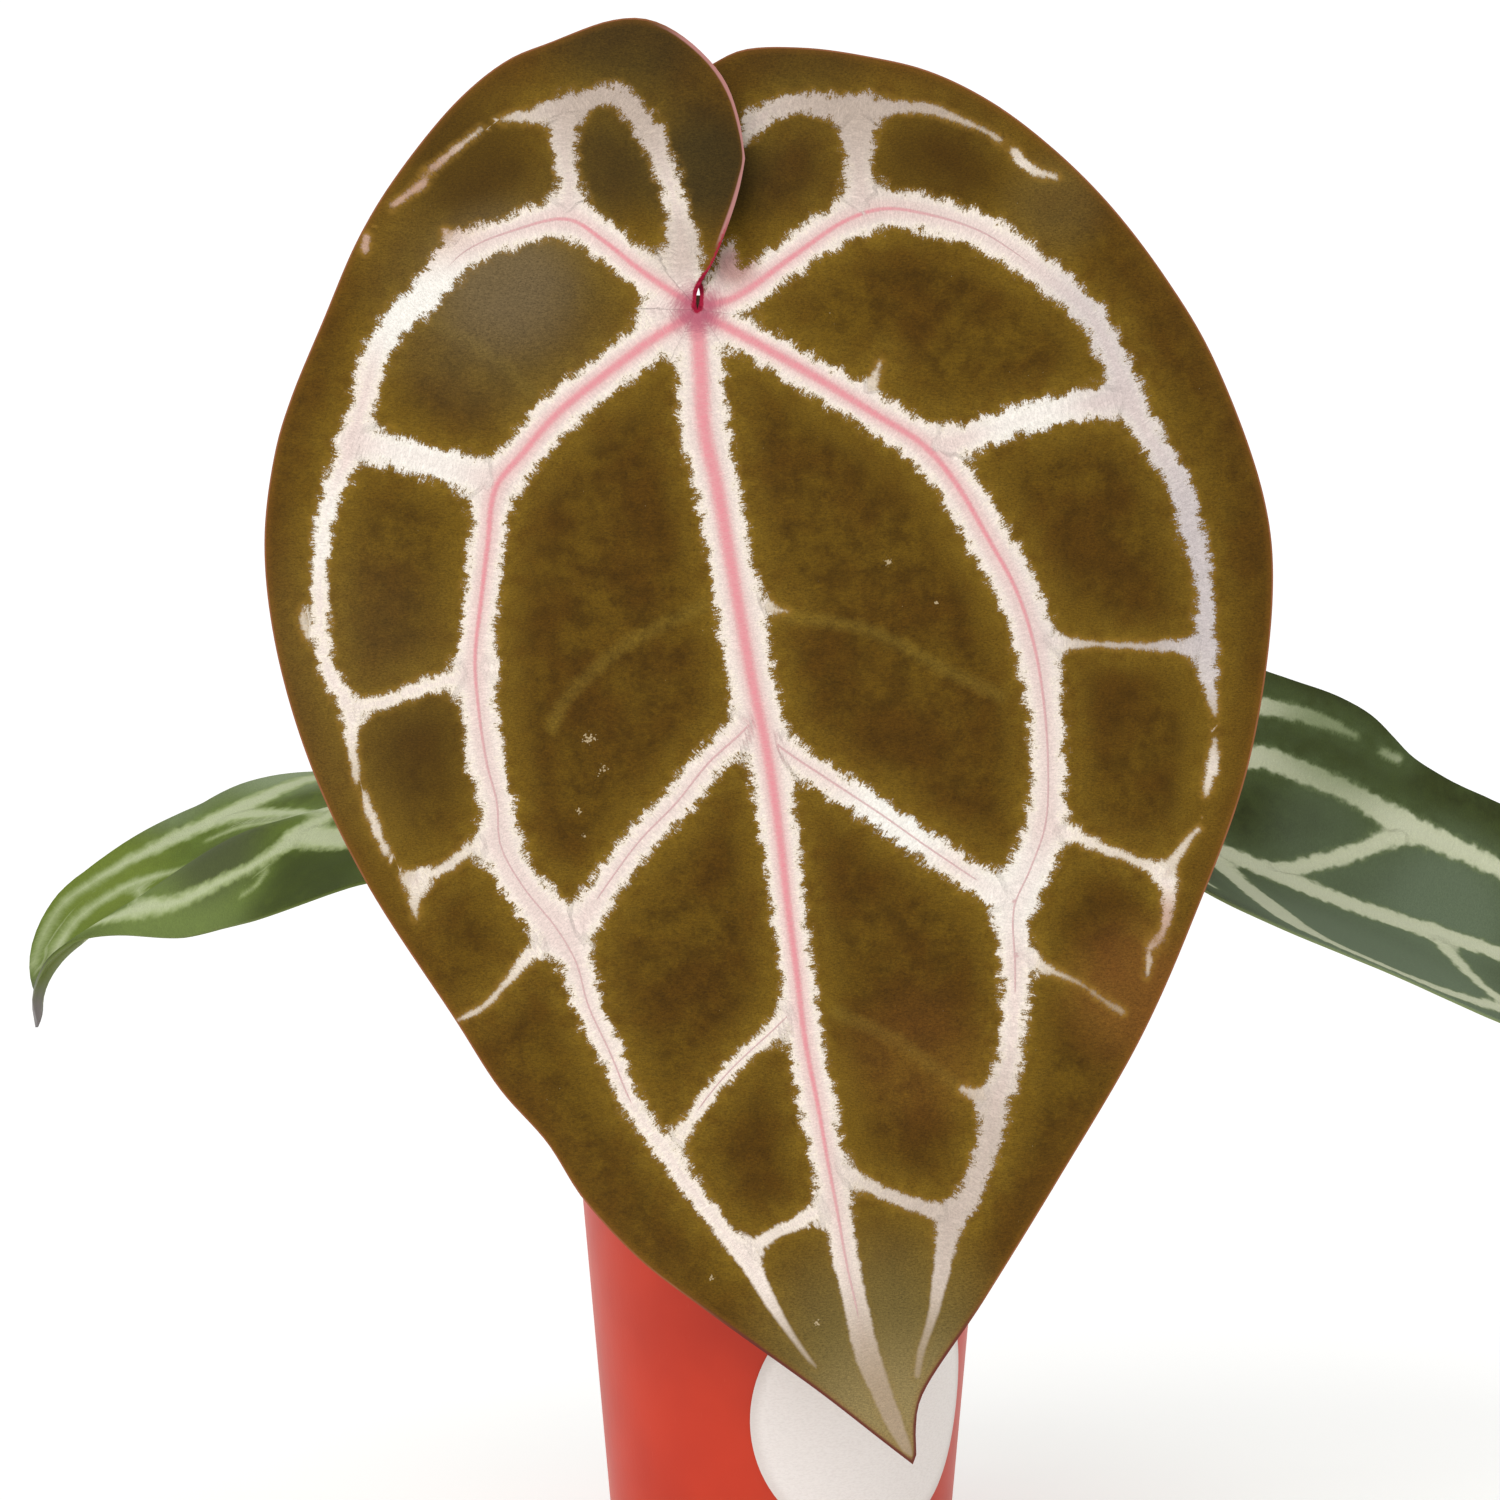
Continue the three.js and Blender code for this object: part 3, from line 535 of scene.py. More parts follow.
mix_vertices, mix_faces = [(0.0, 0.0, float(mix_height(0.0, 0.0)))], []
mix_edge = pot_inside(MIX_TOP) - MIX_GAP
mix_rings = [(mix_edge * ring / MIX_RINGS, None) for ring in range(1, MIX_RINGS + 1)]
mix_rings += [(pot_inside(height) - MIX_GAP, height) for height in MIX_WALL_HEIGHTS]
for radius, height in mix_rings:
    for i in range(MIX_SIDES):
        turn = 2 * math.pi * i / MIX_SIDES
        x, y = radius * math.cos(turn), radius * math.sin(turn)
        mix_vertices.append((x, y, height or float(mix_height(x, y))))
mix_vertices.append((0.0, 0.0, MIX_WALL_HEIGHTS[-1]))
for i in range(MIX_SIDES):
    following = (i + 1) % MIX_SIDES
    mix_faces.append((0, 1 + i, 1 + following))
    for ring in range(MIX_RINGS + 2):
        low, high = 1 + ring * MIX_SIDES, 1 + (ring + 1) * MIX_SIDES
        mix_faces.append((low + i, high + i, high + following, low + following))
    last = 1 + (MIX_RINGS + 2) * MIX_SIDES
    mix_faces.append((last + following, last + i, last + MIX_SIDES))
heap = mesh_object("mix_heap", mix_vertices, mix_faces, mix_finish.material)
outward(heap)
mark(heap, "tone", [MIX_HEAP_TONE] * len(heap.data.vertices))

chips = Builder("loose_pieces", Int=["Seed"], Vector=["Size"], Float=[
    "Spacing", "Inner radius", "Outer radius", "Roughness", "Lean"])
chip_seat = chips.node("GeometryNodeInputPosition")
chip_facing = chips.node("ShaderNodeSeparateXYZ", {}, {0: chips.node("GeometryNodeInputNormal")}, "Z")
chip_reach = chips.vector("LENGTH", chips.vector("MULTIPLY", chip_seat, (1, 1, 0)))
chip_inside = (chip_reach.maths("GREATER_THAN", chips["Inner radius"])
               * chip_reach.maths("LESS_THAN", chips["Outer radius"])
               * chip_facing.maths("GREATER_THAN", CHIP_STEEPEST))
chip_points = chips.node("GeometryNodeDistributePointsOnFaces", {"distribute_method": "POISSON"}, {
    "Mesh": chips["Geometry"], "Selection": chip_inside, "Distance Min": chips["Spacing"],
    "Density Max": CHIP_DENSITY_MOST, "Seed": chips["Seed"]})
chip_turn = chips.node("FunctionNodeRandomValue", {"data_type": "FLOAT_VECTOR"}, {
    0: (-1, -1, -math.pi), 1: (1, 1, math.pi), 8: chips["Seed"]})
chip_lean = chips.node("ShaderNodeCombineXYZ", {}, {"X": chips["Lean"], "Y": chips["Lean"], "Z": 1.0})
chip_angles = chips.vector("MULTIPLY", chip_turn, chip_lean)
chip_scale = chips.node("FunctionNodeRandomValue", {"data_type": "FLOAT_VECTOR"}, {
    0: (0.35, 0.4, 0.4), 1: (1.15, 1.1, 1.15), 8: chips["Seed"]})
chip_block = chips.node("GeometryNodeMeshCube", {}, {
    "Size": chips["Size"], "Vertices X": 4, "Vertices Y": 3, "Vertices Z": 3})
chip_copies = chips.node("GeometryNodeInstanceOnPoints", {}, {
    "Points": chip_points, "Instance": chip_block,
    "Rotation": chips.node("FunctionNodeEulerToRotation", {}, {0: chip_angles}), "Scale": chip_scale})
chip_shade = chips.node("FunctionNodeRandomValue", {"data_type": "FLOAT"}, {
    2: 0.0, 3: 1.0, 8: chips["Seed"]}, 1)
chip_toned = chips.node("GeometryNodeStoreNamedAttribute", {"data_type": "FLOAT", "domain": "INSTANCE"}, {
    "Geometry": chip_copies, "Name": "tone", "Value": chip_shade})
chip_loose = chips.node("GeometryNodeRealizeInstances", {}, {"Geometry": chip_toned})
chip_noise = chips.noise(chips.node("GeometryNodeInputPosition"), CHIP_NOISE_PER_METRE).output("Color")
chip_push = chips.vector("SUBTRACT", chip_noise, (0.5, 0.5, 0.5))
chip_offset = chips.vector("SCALE", chip_push, Scale=chips["Roughness"])
chips.end(chips.node("GeometryNodeSetPosition", {}, {"Geometry": chip_loose, "Offset": chip_offset}))

loose_pieces = []
for name, spacing, size, rough, lean, seed, finish in (
        ("bark_chips", CHIP_SPACING, CHIP_SIZE, 4.5 * MM, 0.45, 11, mix_finish),
        ("perlite_grains", PERLITE_SPACING, (2.2 * PERLITE_RADIUS,) * 3, 2.6 * MM, 3.0, 4, perlite_finish)):
    loose_pieces.append(chips.apply(linked(name, heap.data.copy()), {
        "Spacing": spacing, "Size": size, "Inner radius": STEM_CLEAR_RADIUS,
        "Outer radius": pot_inside(MIX_TOP) - CHIP_EDGE_GAP, "Roughness": rough, "Lean": lean,
        "Seed": seed, "Material": finish.material}))
for piece in (heap, *loose_pieces):
    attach(piece, "root")
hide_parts("potting_mix")

# Roots: a bundle of fleshy cream-coloured roots that grow from the stem's foot and hold it. They lie out
# of sight in the mix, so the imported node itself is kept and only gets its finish.
ROOT_COLOR = (206, 186, 146)
ROOT_DARK_COLOR = (166, 138, 96)

root_finish = Finish("fleshy_root", Roughness=0.75)
root_skin = root_finish.noise(root_finish.place(), 500, 3)
root_finish.paint(ROOT_COLOR, (root_skin, ROOT_DARK_COLOR))
root_finish.bump(root_skin, 0.2 * MM)
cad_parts["roots"].data.materials.clear()
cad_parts["roots"].data.materials.append(root_finish.material)

# Stem: a short, thick green stem, ringed with the corky scars of fallen leaves. Each stalk grows out
# of a cushion on its side.
STEM_VOXEL = 0.55 * MM
SCAR_SPACING = 4.2 * MM
SCAR_DEPTH = 0.3 * MM
SCAR_SWAY = 0.7 * MM
SCAR_SWAYS_PER_METRE = 400
SCAR_SHARPNESS = 12
SCAR_SPAN = 0.75
SCAR_REACH = 8 * MM
STEM_SMOOTHING = 8
STEM_DOUBLE_DISTANCE = 0.01 * MM
STEM_COLOR = (104, 112, 58)
STEM_LIGHT_COLOR = (142, 140, 84)
STEM_SCAR_COLOR = (128, 98, 62)

stem_finish = Finish("stem_green_cork", Roughness=0.7, Specular_IOR_Level=0.35)
stem_place = stem_finish.place()
stem_scar = stem_finish.attribute("scar")
stem_noise = stem_finish.noise(stem_finish.stretched(stem_place, (1, 1, 2.6)), 420, 4, 0.6)
stem_finish.paint(STEM_COLOR, (stem_noise.rise(0.3, 0.7), STEM_LIGHT_COLOR),
                  (stem_scar.rise(0.2, 0.8) * 0.8, STEM_SCAR_COLOR))
stem_finish.bump(stem_noise, 0.25 * MM)

stem_block = linked("stem_block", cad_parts["stem"].data.copy())
merged(stem_block.data, STEM_DOUBLE_DISTANCE)
stem_remesh = stem_block.modifiers.new("remesh", "REMESH")
stem_remesh.mode = "VOXEL"
stem_remesh.voxel_size = STEM_VOXEL
stem_block.modifiers.new("smooth", "SMOOTH").iterations = STEM_SMOOTHING
stem_mesh = bpy.data.meshes.new_from_object(
    stem_block.evaluated_get(bpy.context.evaluated_depsgraph_get()))
bpy.data.objects.remove(stem_block)
stem = linked("stem_ringed", stem_mesh)
stem_mesh.materials.clear()
stem_mesh.materials.append(stem_finish.material)
stem_mesh.polygons.foreach_set("use_smooth", [True] * len(stem_mesh.polygons))
stem_points = vertex_places(stem_mesh)
stem_radius = np.hypot(stem_points[:, 0], stem_points[:, 1])
stem_turn = np.arctan2(stem_points[:, 1], stem_points[:, 0])
scar_phase = (stem_points[:, 2] + SCAR_SWAY * np.sin(
    stem_turn + stem_points[:, 2] * SCAR_SWAYS_PER_METRE)) / SCAR_SPACING
scar = np.cos(2 * math.pi * scar_phase) ** SCAR_SHARPNESS * (stem_radius < SCAR_REACH) * (
    scar_phase % 1 < SCAR_SPAN)
stem_points[:, :2] *= (1 - SCAR_DEPTH * scar / np.maximum(stem_radius, 2 * MM))[:, None]
stem_mesh.vertices.foreach_set("co", stem_points.ravel())
mark(stem, "scar", scar)
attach(stem, "root")
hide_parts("stem")

# Leaf stalks: long, round and firm, each with a swollen joint just under its blade, which turns the
# blade to the light, and a broad foot on the stem. The young front one is still bronze.
STALK_RADIUS = 2.3
STALK_JOINT_RADIUS = 3.1
STALK_FOOT_RADIUS = 3.4
STALK_START = 11.5
STALK_FOOT_SHARE = 0.16
STALK_JOINT_SHARES = (0.88, 0.95)
STALK_JOINT_TONED = (0.88, 0.94)
STALK_FOOT_TONED = (0.12, 0.0)
STALK_WRINKLED = (0.88, 0.93)
STALK_WRINKLE = 0.06
STALK_GROOVE = 0.14
STALK_STEPS = 150
STALK_SIDES = 28
STALK_ROUTES = {
    "front": [(0, -4.5, 80), (-1, -10, 91), (-4, -20, 125), (-9, -35, 180), (-12.5, -47, 218),
              (-14.5, -53.5, 236), (-15.5, -58.2, 243.5), (-15.9, -62.1, 246.4), (-16, -66.1, 247),
              (-16, -68.6, 247.2)],
    "left": [(-4, 2, 79), (-10, 4.5, 88), (-18, 9, 108), (-29, 13, 134), (-38, 14.2, 153.5),
             (-40.2, 12.6, 159.8)],
    "right": [(4, 2.5, 79), (11, 5.5, 87), (26, 12, 99), (53, 22, 117), (73, 29, 133),
              (82, 30, 142.5), (85, 26.8, 147.6)],
}
STALK_COLORS = {
    "front": ((118, 92, 50), (146, 112, 74), (104, 70, 50)),
    "left": ((112, 124, 60), (140, 150, 84), (96, 100, 52)),
    "right": ((104, 116, 62), (134, 146, 88), (92, 96, 54)),
}


def curve_through(points, steps=40):
    """Close points along the centripetal Catmull-Rom curve through the given points."""
    points = np.array(points, float)
    ends = [2 * points[0] - points[1], *points, 2 * points[-1] - points[-2]]
    share = (np.arange(steps) / steps)[:, None]
    line = []
    for p0, p1, p2, p3 in zip(ends, ends[1:], ends[2:], ends[3:]):
        d0, d1, d2 = (np.linalg.norm(b - a) ** 0.5 for a, b in ((p0, p1), (p1, p2), (p2, p3)))
        leave = ((p1 - p0) / d0 - (p2 - p0) / (d0 + d1) + (p2 - p1) / d1) * d1
        arrive = ((p2 - p1) / d1 - (p3 - p1) / (d1 + d2) + (p3 - p2) / d2) * d1
        line.append(p1 + leave * share + (3 * (p2 - p1) - 2 * leave - arrive) * share ** 2
                    + (2 * (p1 - p2) + leave + arrive) * share ** 3)
    line.append(points[-1:])
    return np.concatenate(line)


def lengths_along(line):
    return np.concatenate([[0], np.cumsum(np.linalg.norm(np.diff(line, axis=0), axis=1))])


def along(line, distances):
    """The points at the given distances along a line of close points."""
    reached = lengths_along(line)
    return np.stack([np.interp(distances, reached, line[:, k]) for k in range(line.shape[1])], axis=-1)


def smooth(value, low, high):
    share = np.clip((value - low) / (high - low), 0, 1)
    return share * share * (3 - 2 * share)


stalks = Builder("stalk_sweep", Int=["Sides"], Float=["Groove"])
stalk_ring = stalks.node("GeometryNodeCurvePrimitiveCircle", {"mode": "RADIUS"}, {
    "Resolution": stalks["Sides"], "Radius": 1.0})
ring_place = stalks.node("GeometryNodeInputPosition")
ring_top = stalks.node("ShaderNodeSeparateXYZ", {}, {0: ring_place}, "Y")
ring_dent = stalks.node("ShaderNodeCombineXYZ", {}, {"Y": ring_top.rise(0.72, 1.0) * stalks["Groove"] * -1})
stalk_section = stalks.node("GeometryNodeSetPosition", {}, {"Geometry": stalk_ring, "Offset": ring_dent})
stalk_radius = stalks.node("GeometryNodeInputRadius")
stalk_share = stalks.node("GeometryNodeSplineParameter", {}, {}, "Factor")
stalk_line = stalks.node("GeometryNodeStoreNamedAttribute", {"data_type": "FLOAT", "domain": "POINT"}, {
    "Geometry": stalks["Geometry"], "Name": "share", "Value": stalk_share})
stalks.end(stalks.node("GeometryNodeSetShadeSmooth", {}, {
    "Geometry": stalks.node("GeometryNodeCurveToMesh", {}, {
        "Curve": stalk_line, "Profile Curve": stalk_section, "Scale": stalk_radius, "Fill Caps": True})}))

for name, route in STALK_ROUTES.items():
    base, light, joint_tone = STALK_COLORS[name]
    finish = Finish(f"petiole_{'bronze' if name == 'front' else 'green'}_{name}", Specular_IOR_Level=0.45)
    place = finish.place()
    share = finish.attribute("share")
    streak = finish.noise(finish.stretched(place, (1, 1, 0.14)), 1300, 3, 0.6)
    fleck = finish.noise(place, 1100, 2, 0.6)
    in_joint = share.rise(*STALK_JOINT_TONED)
    at_foot = share.rise(*STALK_FOOT_TONED)
    finish.paint(base, (streak.rise(0.3, 0.75), light), (fleck.rise(0.62, 0.72) * 0.5, joint_tone),
                 (in_joint * 0.7 + at_foot * 0.5, joint_tone))
    finish.feed("Roughness", 0.42 + streak * 0.12 + in_joint * 0.12)
    finish.bump(streak * 0.6 + fleck * 0.4, 0.12 * MM)
    line = curve_through(route)
    length = lengths_along(line)[-1]
    shares = np.linspace(0, 1, STALK_STEPS)
    points = along(line, STALK_START + (length - STALK_START) * shares)
    radii = (STALK_RADIUS + (STALK_FOOT_RADIUS - STALK_RADIUS) * (1 - smooth(shares, 0, STALK_FOOT_SHARE))
             + (STALK_JOINT_RADIUS - STALK_RADIUS) * smooth(shares, *STALK_JOINT_SHARES)
             + STALK_WRINKLE * np.sin(shares * 420) * smooth(shares, *STALK_WRINKLED))
    spline_data = bpy.data.curves.new(f"stalk_{name}", "CURVE")
    spline_data.dimensions = "3D"
    spline = spline_data.splines.new("POLY")
    spline.points.add(STALK_STEPS - 1)
    spline.points.foreach_set("co", np.c_[points * MM, np.ones(STALK_STEPS)].ravel())
    spline.points.foreach_set("radius", radii * MM)
    stalk = stalks.apply(linked(f"stalk_{name}", spline_data), {
        "Sides": STALK_SIDES, "Groove": STALK_GROOVE, "Material": finish.material})
    outward(stalk)
    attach(stalk, "root")
    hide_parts(f"petiole_{name}")
    "petiole_bronze" if name == "front" else "petiole_green"

# Bracts: the dry papery sheath that once wrapped each young leaf. One clasps the foot of each stalk,
# brown, thin and fibrous, split and frayed at its tip.
BRACT_SPREAD = math.radians(75)
BRACT_CLEARANCE = 0.6
BRACT_THICKNESS = 0.3
BRACT_HEIGHTS = {"front": 27, "left": 22, "right": 18}
BRACT_RISE = 1
BRACT_FLARE = 2.4
BRACT_FRAY = 0.22
BRACT_ACROSS = 40
BRACT_ROWS = 60
BRACT_COLOR = (184, 142, 92)
BRACT_FIBRE_COLOR = (120, 82, 48)
BRACT_CLOUD_COLOR = (96, 62, 38)

bract_finish = Finish("bract_papery", Roughness=0.8, Specular_IOR_Level=0.3)
bract_place = bract_finish.attribute("flat", "Vector")
bract_fibre = bract_finish.noise(bract_finish.stretched(bract_place, (34, 1.2, 1)), 1.0, 3, 0.6)
bract_cloud = bract_finish.noise(bract_place, 3.0, 3)
bract_finish.paint(BRACT_COLOR, (bract_fibre.rise(0.3, 0.7), BRACT_FIBRE_COLOR),
                   (bract_cloud.rise(0.45, 0.7) * 0.6, BRACT_CLOUD_COLOR))
bract_finish.bump(bract_fibre, 0.3 * MM)


def at(i, j):
    """The number of a point in the bract's grid, from its place across and up."""
    return j * (BRACT_ACROSS + 1) + i


bract_faces = [(at(i, j), at(i, j + 1), at(i + 1, j + 1), at(i + 1, j))
               for j in range(BRACT_ROWS) for i in range(BRACT_ACROSS)]
bract_edge = [at(0, j) for j in range(BRACT_ROWS)] + [at(i, BRACT_ROWS) for i in range(BRACT_ACROSS)]
bract_edge += [at(BRACT_ACROSS, j) for j in range(BRACT_ROWS, 0, -1)]
bract_edge += [at(i, 0) for i in range(BRACT_ACROSS, 0, -1)]
bract_flat = [(i / BRACT_ACROSS, j / BRACT_ROWS, 0)
              for j in range(BRACT_ROWS + 1) for i in range(BRACT_ACROSS + 1)]
for name, height in BRACT_HEIGHTS.items():
    line = curve_through(STALK_ROUTES[name])
    foot = STALK_START + BRACT_RISE
    start = along(line, np.array([foot]))[0]
    out_from_stem = np.array([start[0], start[1], 0]) / np.hypot(start[0], start[1])

    def bract_point(i, j, thickness):
        tip = 1 - BRACT_FRAY * abs(math.sin(9 * i + 2.1)) * (0.3 + 0.7 * abs(2 * i - 1))
        up = j * tip
        here, ahead = along(line, foot + height * up + np.array([0, 0.5]))
        tangent = (ahead - here) / np.linalg.norm(ahead - here)
        out = out_from_stem - tangent * (out_from_stem @ tangent)
        out /= np.linalg.norm(out)
        side = np.cross(tangent, out)
        turn = (BRACT_SPREAD * (1 - up ** 2.2) + math.radians(4)) * (2 * i - 1)
        ripple = 0.18 * math.sin(31 * i + 3 * up) * up + 0.1 * math.sin(67 * i)
        radius = STALK_FOOT_RADIUS + BRACT_CLEARANCE + BRACT_FLARE * up ** 2 + ripple + thickness
        return (here + out * radius * math.cos(turn) + side * radius * math.sin(turn)) * MM

    front, back = (
        [bract_point(i, j, thickness) for i, j, _ in bract_flat] for thickness in (BRACT_THICKNESS, 0))
    bract = closed_sheet(
        f"bract_{name}_papery", front, back, bract_faces, bract_edge, bract_finish.material)
    outward(bract)
    mark(bract, "flat", bract_flat * 2, "FLOAT_VECTOR")
    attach(bract, "root")
    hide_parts(f"bract_{name}")

# Front leaf: one heart-shaped blade, velvety brown-olive between its veins. The veins are silver with
# fringed edges, and a pink line runs along each main one. The two back lobes overlap above the stalk.
# It is drawn flat in millimetres from the point where the stalk joins it: across, then up.
VIEW_DISTANCE = 600
VIEW_SIDE = -6.4
VIEW_HEIGHT = 167.3
FRONT_LEAF_Y = -70
FRONT_JUNCTION = (-16, 247.3)
NOTCH_OPENING = math.radians(28)
NOTCH_SIZE = 5
NOTCH_SHARES = (0.86, 1)
SINUS_BULGE = 0.8
LOBE_OFFSET = 3.4
LOBE_SHARES = (0.72, 0.97)
LOBE_REACH = 16
RIGHT_FOLD = (11, 98)
LEFT_FOLD = (6, 82)
FRONT_RIB_LEAN = 0.175
FRONT_WAVE = 1.6
FRONT_WAVE_PACE = 21
BLADE_THICKNESS = 0.62
BLADE_EDGE = 0.3
CELL_PUFF = 0.7
VEIN_RELIEF = 1.3
VEIN_BLEND = 1.3
VEIN_STEPS = 6
VEIN_SEARCH = 45
VEIN_FAR = 60.0
VEIN_NOT_FOUND = 1e3
CELL_FAR = 40
POINTS_AT_ONCE = 20000
NO_BLEND = 1e-12
BURIED_HALF_WIDTH = 0.4
RELIEF_SPREAD = 0.6
RELIEF_THINNING = 0.6
RELIEF_MARGIN = 4
RELIEF_HALF_WIDTHS = (0.2, 2.0)
PUFF_GROWTH = 11
PUFF_MARGIN = 9
PUFF_ON_BACK = 0.7
EDGE_TAPER = 6
SINUS_STEPS = 8
MARGIN_STRIDE = 3
FRONT_RAYS = 380
FRONT_RINGS = 118
FRONT_OUTLINE = [
    [(8.7, 27.6), (7.6, 34.7), (4.6, 42.4), (-2.6, 49.8), (-9.1, 52.9), (-15.6, 52.7), (-26.7, 48.7),
     (-34.4, 45.5), (-43.5, 38.2), (-55.3, 23.6), (-61.8, 12.7), (-68, -1.8), (-74, -16.4),
     (-76.7, -25.5), (-78.7, -41.8), (-76.9, -60), (-70.7, -81.8), (-60.5, -103.6), (-44, -129.1),
     (-35.8, -141.8), (-27.3, -151.4), (-20.9, -161.4), (-10.4, -172.7), (0.9, -181.4),
     (22.4, -196.9), (34.5, -206.3), (39.2, -209.9)],
    [(39.2, -209.9), (39.8, -208.5), (39.75, -204), (40.6, -198.1), (52, -180.3), (65.6, -158.2),
     (80.5, -132.7), (90, -111.3), (100.2, -82.9), (104.7, -50.9), (103.1, -34.2), (93.8, -8.6),
     (85.6, 5.3), (75.1, 19.1), (64.5, 29.6), (53.3, 38), (42, 43.5), (30.7, 46.2), (19.5, 47.7),
     (8.2, 47.3), (2.7, 44.7), (-1.3, 42), (-4.5, 37.3), (-5.5, 30.9)],
]
FRONT_PROFILE = [(70, 17), (45, 9), (20, 2), (0, 0), (-45, -4), (-100, -5), (-160, 0), (-215, 8)]

